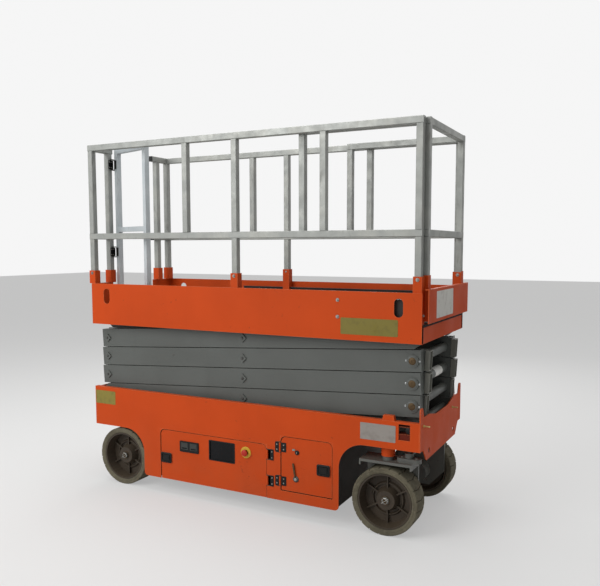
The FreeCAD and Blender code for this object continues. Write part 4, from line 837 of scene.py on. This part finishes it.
def addHingeLeaves(look, kind, side, sign, body):
    leaf = look[kind]
    x, width = sum(leaf["x"]) / 2, leaf["x"][1] - leaf["x"][0]
    outside = leaf["face"] + look["thickness"]
    pads, screws = [], []
    for z0, z1 in leaf["z"]:
        pads.append((width, z1 - z0, look["corner"], (x, sign * leaf["face"], (z0 + z1) / 2), side))
        for z in (z0 + look["screwInset"], z1 - look["screwInset"]):
            screws.append(((x, sign * outside, z), side, look["screw"]))
    depths = (0.0, look["thickness"], look["bevel"])
    addPads("%sLeaves_%s" % (kind, side), body, "dark_paint", blackPlastic, pads, depths)
    addBolts("%sScrews_%s" % (kind, side), body, "dark_paint", boltSteel, screws, roundHead)


for side, sign in bothSides:
    for kind, body in (("door", "door_front_%s" % side), ("frame", "chassis"), ("rearFrame", "chassis")):
        addHingeLeaves(hingeLeaf, kind, side, sign, body)

doorCorner = {"radius": 0.030, "gap": 0.005, "face": 0.415, "depth": 0.004, "steps": 8,
              "doors": {"rear": (-0.585, 0.195, 0.416), "front": (0.297, 0.622, 0.479)}}  # x from, x to, top


def addDoorCorners(look):
    # the door openings' rounded upper corners
    r = look["radius"] + look["gap"]
    arc = [math.radians(90 * i / look["steps"]) for i in range(look["steps"] + 1)]
    corner = [(r, r)] + [(r * math.cos(a), r * math.sin(a)) for a in arc]
    bm = bmesh.new()
    for x0, x1, top in look["doors"].values():
        z = top - look["radius"]
        for centre, turn in ((x0 + look["radius"], -1), (x1 - look["radius"], 1)):
            for side, sign in bothSides:
                addLoft(bm, [[(centre + turn * px, sign * y, z + pz) for px, pz in corner]
                             for y in (look["face"], look["face"] - look["depth"])])
    return addSolid("doorCorners", bm, "chassis", "orange_paint", orangePaint, smooth=False)


addDoorCorners(doorCorner)

gateHinge = {"axis": (-1.104, -0.198), "heights": ((1.5185, 1.5775), (2.1055, 2.1645)), "sleeve": 0.0092,
             "open": -108.0,
             # boxes as x and y ranges: on the closed gate, and on its post
             "leaf": ((-1.1078, -1.1002), (-0.192, -0.1815)), "stile": ((-1.0885, -1.0855), (-0.182, -0.156)),
             "post": ((-1.1125, -1.1095), (-0.257, -0.212)), "screwY": (-0.249, -0.231), "screwZ": 0.018,
             "screw": 0.0036}


def addGateHinges(look):
    axis = Matrix.Translation((*look["axis"], 0.0))
    swing = axis @ Matrix.Rotation(math.radians(look["open"]), 4, "Z") @ axis.inverted()
    leaves, posts, screws = bmesh.new(), bmesh.new(), []
    for z0, z1 in look["heights"]:
        addTurned(leaves, disc(look["sleeve"], z0, z1), axis, 20)
        for part in ("leaf", "stile"):
            addBlock(leaves, *look[part], (z0, z1), swing)
        addBlock(posts, *look["post"], (z0, z1))
        for y in look["screwY"]:
            for dz in (-look["screwZ"], look["screwZ"]):
                screws.append(((look["post"][0][1], y, (z0 + z1) / 2 + dz), "front", look["screw"]))
    addSolid("gateHingeLeaves", leaves, "gate", "dark_paint", blackPlastic)
    addSolid("postHingeLeaves", posts, "platform", "dark_paint", blackPlastic)
    addBolts("postHingeScrews", "platform", "dark_paint", boltSteel, screws, roundHead)


addGateHinges(gateHinge)
print("hinge leaves on")


# Bolts, pins and washers

pinRows = {"leftX": -1.070, "rightX": 1.066, "middleX": -0.002, "baseZ": 0.6026, "pitch": 0.1232, "bossY": 0.356,
           "armY": 0.348, "size": 0.0075, "cap": 0.028, "core": 0.020, "keeperReach": 0.037, "keeperSize": 0.0044,
           "leftPinSize": 0.0065}


def addArmBolts(look):
    cap, core = look["cap"], look["core"]
    for level in (1, 2, 3, 4):
        inside, outside = "inner_arm_%d" % level, "outer_arm_%d" % level
        z = look["baseZ"] + level * look["pitch"]
        addBolts("outerPinBolts_%d" % level, outside, "arm_grey", darkSteel,
                 [((look["middleX"], sign * look["bossY"], z - look["pitch"] / 2), side, look["size"])
                  for side, sign in bothSides], roundHead)
        if level == 4:  # the highest arms have no arms above them to carry
            break
        addBolts("innerPinBolts_%d" % level, inside, "arm_grey", darkSteel,
                 [((look["leftX"], sign * look["bossY"], z), side, look["leftPinSize"])
                  for side, sign in bothSides], roundHead)
        bm = bmesh.new()
        for side, sign in bothSides:
            m = wallMatrix((look["rightX"], sign * look["bossY"], z), side)
            addTurned(bm, [(0, 0), (cap, 0), (cap, 0.002), (cap - 0.002, 0.003), (core + 0.001, 0.003),
                           (core + 0.001, 0.001), (0, 0.001)], m, 32, 0)
            addTurned(bm, [(0, 0.001), (core, 0.001), (core, 0.003), (core - 0.002, 0.004), (0.006, 0.004),
                           (0.005, 0.0025), (0, 0.0025)], m, 28, 1)
        addSolid("pinCaps_%d" % level, bm, outside, "arm_grey", armEnamel, pinSteel)
        addBolts("keeperBolts_%d" % level, outside, "arm_grey", chromedRod,
                 [((look["rightX"] + shift, sign * look["armY"], z), side, look["keeperSize"])
                  for side, sign in bothSides for shift in (-look["keeperReach"], look["keeperReach"])])


addArmBolts(pinRows)

rodBolts = {"foot": 1.134, "washer": 0.0085, "nut": 0.0068, "radius": 0.0040, "reach": 0.036,
            "places": ((-0.360, 0.628), (0.218, 0.612))}


def addRodBolts(look):  # long zinc bolts that stand out of the front end plate, each with its nut
    nut, rod, reach = look["nut"], look["radius"], look["reach"]
    bm = bmesh.new()
    for y, z in look["places"]:
        m = wallMatrix((look["foot"], y, z), "front")
        addTurned(bm, disc(look["washer"], 0, 0.0012), m, 20)
        addTurned(bm, [(0, 0.0012), (nut, 0.0012), (nut, 0.0062), (nut - 0.0008, 0.0070), (0, 0.0070)], m, 6)
        addTurned(bm, [(0, 0.0070), (rod, 0.0070), (rod, reach - 0.001), (rod - 0.001, reach), (0, reach)], m, 14)
    addSolid("frontRodBolts", bm, "chassis", "orange_paint", zincYellow)


addRodBolts(rodBolts)

socketBolt = {"z": 1.409, "size": 0.0072,
              "platform": [(1.106, -0.4153, "right"), (-1.131, -0.4153, "right"), (-0.017, -0.4153, "right"),
                           (1.106, 0.4153, "left"), (-1.131, 0.4153, "left"), (-0.091, 0.4153, "left"),
                           (-0.091, 0.372, "right"), (-0.017, -0.372, "left")],
              "extension": [(1.125, -0.3177, "left"), (1.125, 0.3177, "right")]}
skirtBolt = {"x": 0.656, "y": 0.420, "heights": (1.291, 1.199), "size": 0.0075}
endPanelBolt = {"x": 1.135, "y": 0.400, "z": 1.222, "size": 0.0062}
tiePadBolt = {"places": (1.010, 1.090), "y": 0.3385, "z": 0.438, "size": 0.0075}

for body in ("platform", "extension"):
    addBolts("socketBolts_" + body, body, "orange_paint", boltSteel,
             [((x, y, socketBolt["z"]), facing, socketBolt["size"]) for x, y, facing in socketBolt[body]])
addBolts("skirtBolts", "platform", "orange_paint", boltSteel,
         [((skirtBolt["x"], sign * skirtBolt["y"], z), side, skirtBolt["size"])
          for side, sign in bothSides for z in skirtBolt["heights"]])
addBolts("endPanelBolts", "platform", "orange_paint", boltSteel,
         [((endPanelBolt["x"], sign * endPanelBolt["y"], endPanelBolt["z"]), "front", endPanelBolt["size"])
          for side, sign in bothSides])
for side, sign in bothSides:
    addBolts("tiePadBolts_" + side, "knuckle_" + side, "arm_grey", boltSteel,
             [((x, sign * tiePadBolt["y"], tiePadBolt["z"]), "top", tiePadBolt["size"])
              for x in tiePadBolt["places"]], roundHead)
print("bolts on")


# Ends, caps, the shaft's label, the painted shadow strips under the toe board and the roll-out deck's guides

armEnd = {"low": 0.240, "high": 0.288, "half": 0.056, "wall": 0.005, "back": 1.1135,
          "reach": {2: 0.012, 3: 0.028, 4: 0.028}}


def addArmEnds(look):
    # open box ends of the inner beams, past their low pins, along the beams' own slope
    slope = math.atan2(pinRows["pitch"], pinRows["rightX"] - pinRows["leftX"])
    low, high, wall, half = look["low"], look["high"], look["wall"], look["half"]
    outer = [(low, -half), (high, -half), (high, half), (low, half)]
    inner = [(low + wall, -half + wall), (high - wall, -half + wall), (high - wall, half - wall),
             (low + wall, half - wall)]
    x0 = look["back"] - pinRows["rightX"]
    for level, reach in look["reach"].items():
        z = pinRows["baseZ"] + (level - 1) * pinRows["pitch"]
        along = Matrix.Translation((pinRows["rightX"], 0, z)) @ Matrix.Rotation(slope, 4, "Y")
        bm = bmesh.new()
        for side, sign in bothSides:
            addLoft(bm, [[(x, sign * y, h) for y, h in ring] for ring, x in
                         ((outer, x0), (outer, x0 + reach), (inner, x0 + reach), (inner, x0 + 0.001))], along)
        # the ends' paler grey is painted light
        addSolid("armEnds_%d" % level, bm, "inner_arm_%d" % level, "arm_grey", armEndGreyWithPaintedLight, smooth=False)


addArmEnds(armEnd)

rollerCap = {"x": 1.066, "y": 0.4030, "z": 0.6026, "radius": 0.0178, "height": 0.002}


def addRollerCaps(look):
    r, height = look["radius"], look["height"]
    bm = bmesh.new()
    for side, sign in bothSides:
        addTurned(bm, [(0, 0), (r, 0), (r, height * 0.6), (r * 0.93, height), (0, height)],
                  wallMatrix((look["x"], sign * look["y"], look["z"]), side), 28)
    return addSolid("rollerCaps", bm, "inner_arm_1", "arm_grey", blackPlastic)


addRollerCaps(rollerCap)

shaftLabel = {"x": 1.066, "z": 0.849, "y": (-0.006, 0.134), "radius": 0.0288, "thickness": 0.0008, "turns": 100}


def addShaftLabel(look):
    # a bare pale band round part of the second cross shaft
    (y0, y1), r, inside = look["y"], look["radius"], look["radius"] - look["thickness"]
    corners = ((r, y0), (r, y1), (inside, y1), (inside, y0))
    bm = bmesh.new()
    addLoft(bm, [[(look["x"] + d * math.cos(a), y, look["z"] + d * math.sin(a)) for d, y in corners]
                 for a in map(math.radians, range(-look["turns"], look["turns"] + 1, 10))])
    return addSolid("shaftLabel", bm, "outer_arm_2", "arm_grey", paperWhite)


addShaftLabel(shaftLabel)

cornerSocket = {"x": (1.1068, 1.1492), "y": (0.3205, 0.3635), "z": (1.189, 1.432), "wall": 0.003}


def addCornerSockets(look):
    # angle irons in front of the roll-out deck's corner posts
    (x0, x1), (y0, y1), t = look["x"], look["y"], look["wall"]
    outline = [(x0, y1), (x0, y1 - t), (x1 - t, y1 - t), (x1 - t, y0), (x1, y0), (x1, y1)]
    bm = bmesh.new()
    for side, sign in bothSides:
        addLoft(bm, [[(x, sign * y, z) for x, y in outline] for z in look["z"]])
    return addSolid("cornerSockets", bm, "extension", "orange_paint", orangePaint, smooth=False)


addCornerSockets(cornerSocket)

# painted shadow: dark strips along the top and the sides of the panel under the toe board, where shade falls
toeShadowStrips = {"depths": (-0.0005, 0.003, 0.0008), "pads": [  # a strip on top and one at each side
    (0.826, 0.015, 0.002, (1.135, 0.0, 1.1665), "front"), (0.012, 0.083, 0.002, (1.135, -0.407, 1.1175), "front"),
    (0.012, 0.083, 0.002, (1.135, 0.407, 1.1175), "front")]}
addPads("toeShadowStrips", "platform", "dark_paint", shadowStripDark, toeShadowStrips["pads"], toeShadowStrips["depths"])

deckGuide = {"x": (-0.45, 1.062), "web": (0.391, 0.396), "flange": 0.376, "z": (1.190, 1.302), "thickness": 0.0035}


def addDeckGuides(look):
    # steel channels inside the skirts, beside the roll-out deck; their dark paint is partly painted shade for the gap
    # there
    (yIn, yOut), (z0, z1), t, lip = look["web"], look["z"], look["thickness"], look["flange"]
    profile = [(yOut, z0), (yOut, z1), (lip, z1), (lip, z1 - t), (yIn, z1 - t), (yIn, z0 + t), (lip, z0 + t), (lip, z0)]
    bm = bmesh.new()
    for side, sign in bothSides:
        addLoft(bm, [[(x, sign * y, z) for y, z in profile] for x in look["x"]])
    return addSolid("deckGuides", bm, "platform", "dark_paint", darkPaint, smooth=False)


addDeckGuides(deckGuide)

railEndCap = {"size": 0.036, "corner": 0.003, "depths": (-0.0005, 0.003, 0.001), "x": -1.131,
              "heights": (2.226, 1.651), "ends": ((-0.216, "left"), (0.206, "right"))}
addPads("railEndCaps", "platform", "galvanised", blackPlastic,
        [(railEndCap["size"], railEndCap["size"], railEndCap["corner"], (railEndCap["x"], y, z), facing)
         for z in railEndCap["heights"] for y, facing in railEndCap["ends"]], railEndCap["depths"])
print("ends and guides on")


# Tread bars; the rows are odd in number, so that the bars alternate

treadFields = [
    # name, body, length, width, rows, columns, middle
    ("floorTread", "platform", 2.16, 0.36, 11, 61, (-0.02, 0.0, 1.1749)),
    ("deckTreadBars", "extension", 0.66, 0.58, 17, 19, (0.745, 0.0, 1.1879)),
]

for name, body, length, width, rows, columns, middle in treadFields:
    seed = bpy.data.meshes.new(name + "Spots")
    seed.from_pydata([(0, 0, 0)], [], [])
    mesh = growMesh(name, seed, treadBars, {"Finish": treadSheet, "Length": length, "Width": width, "Rows": rows,
                                            "Columns": columns, "Middle": middle})
    addPiece(name, mesh, body, "galvanised")
print("tread bars on")
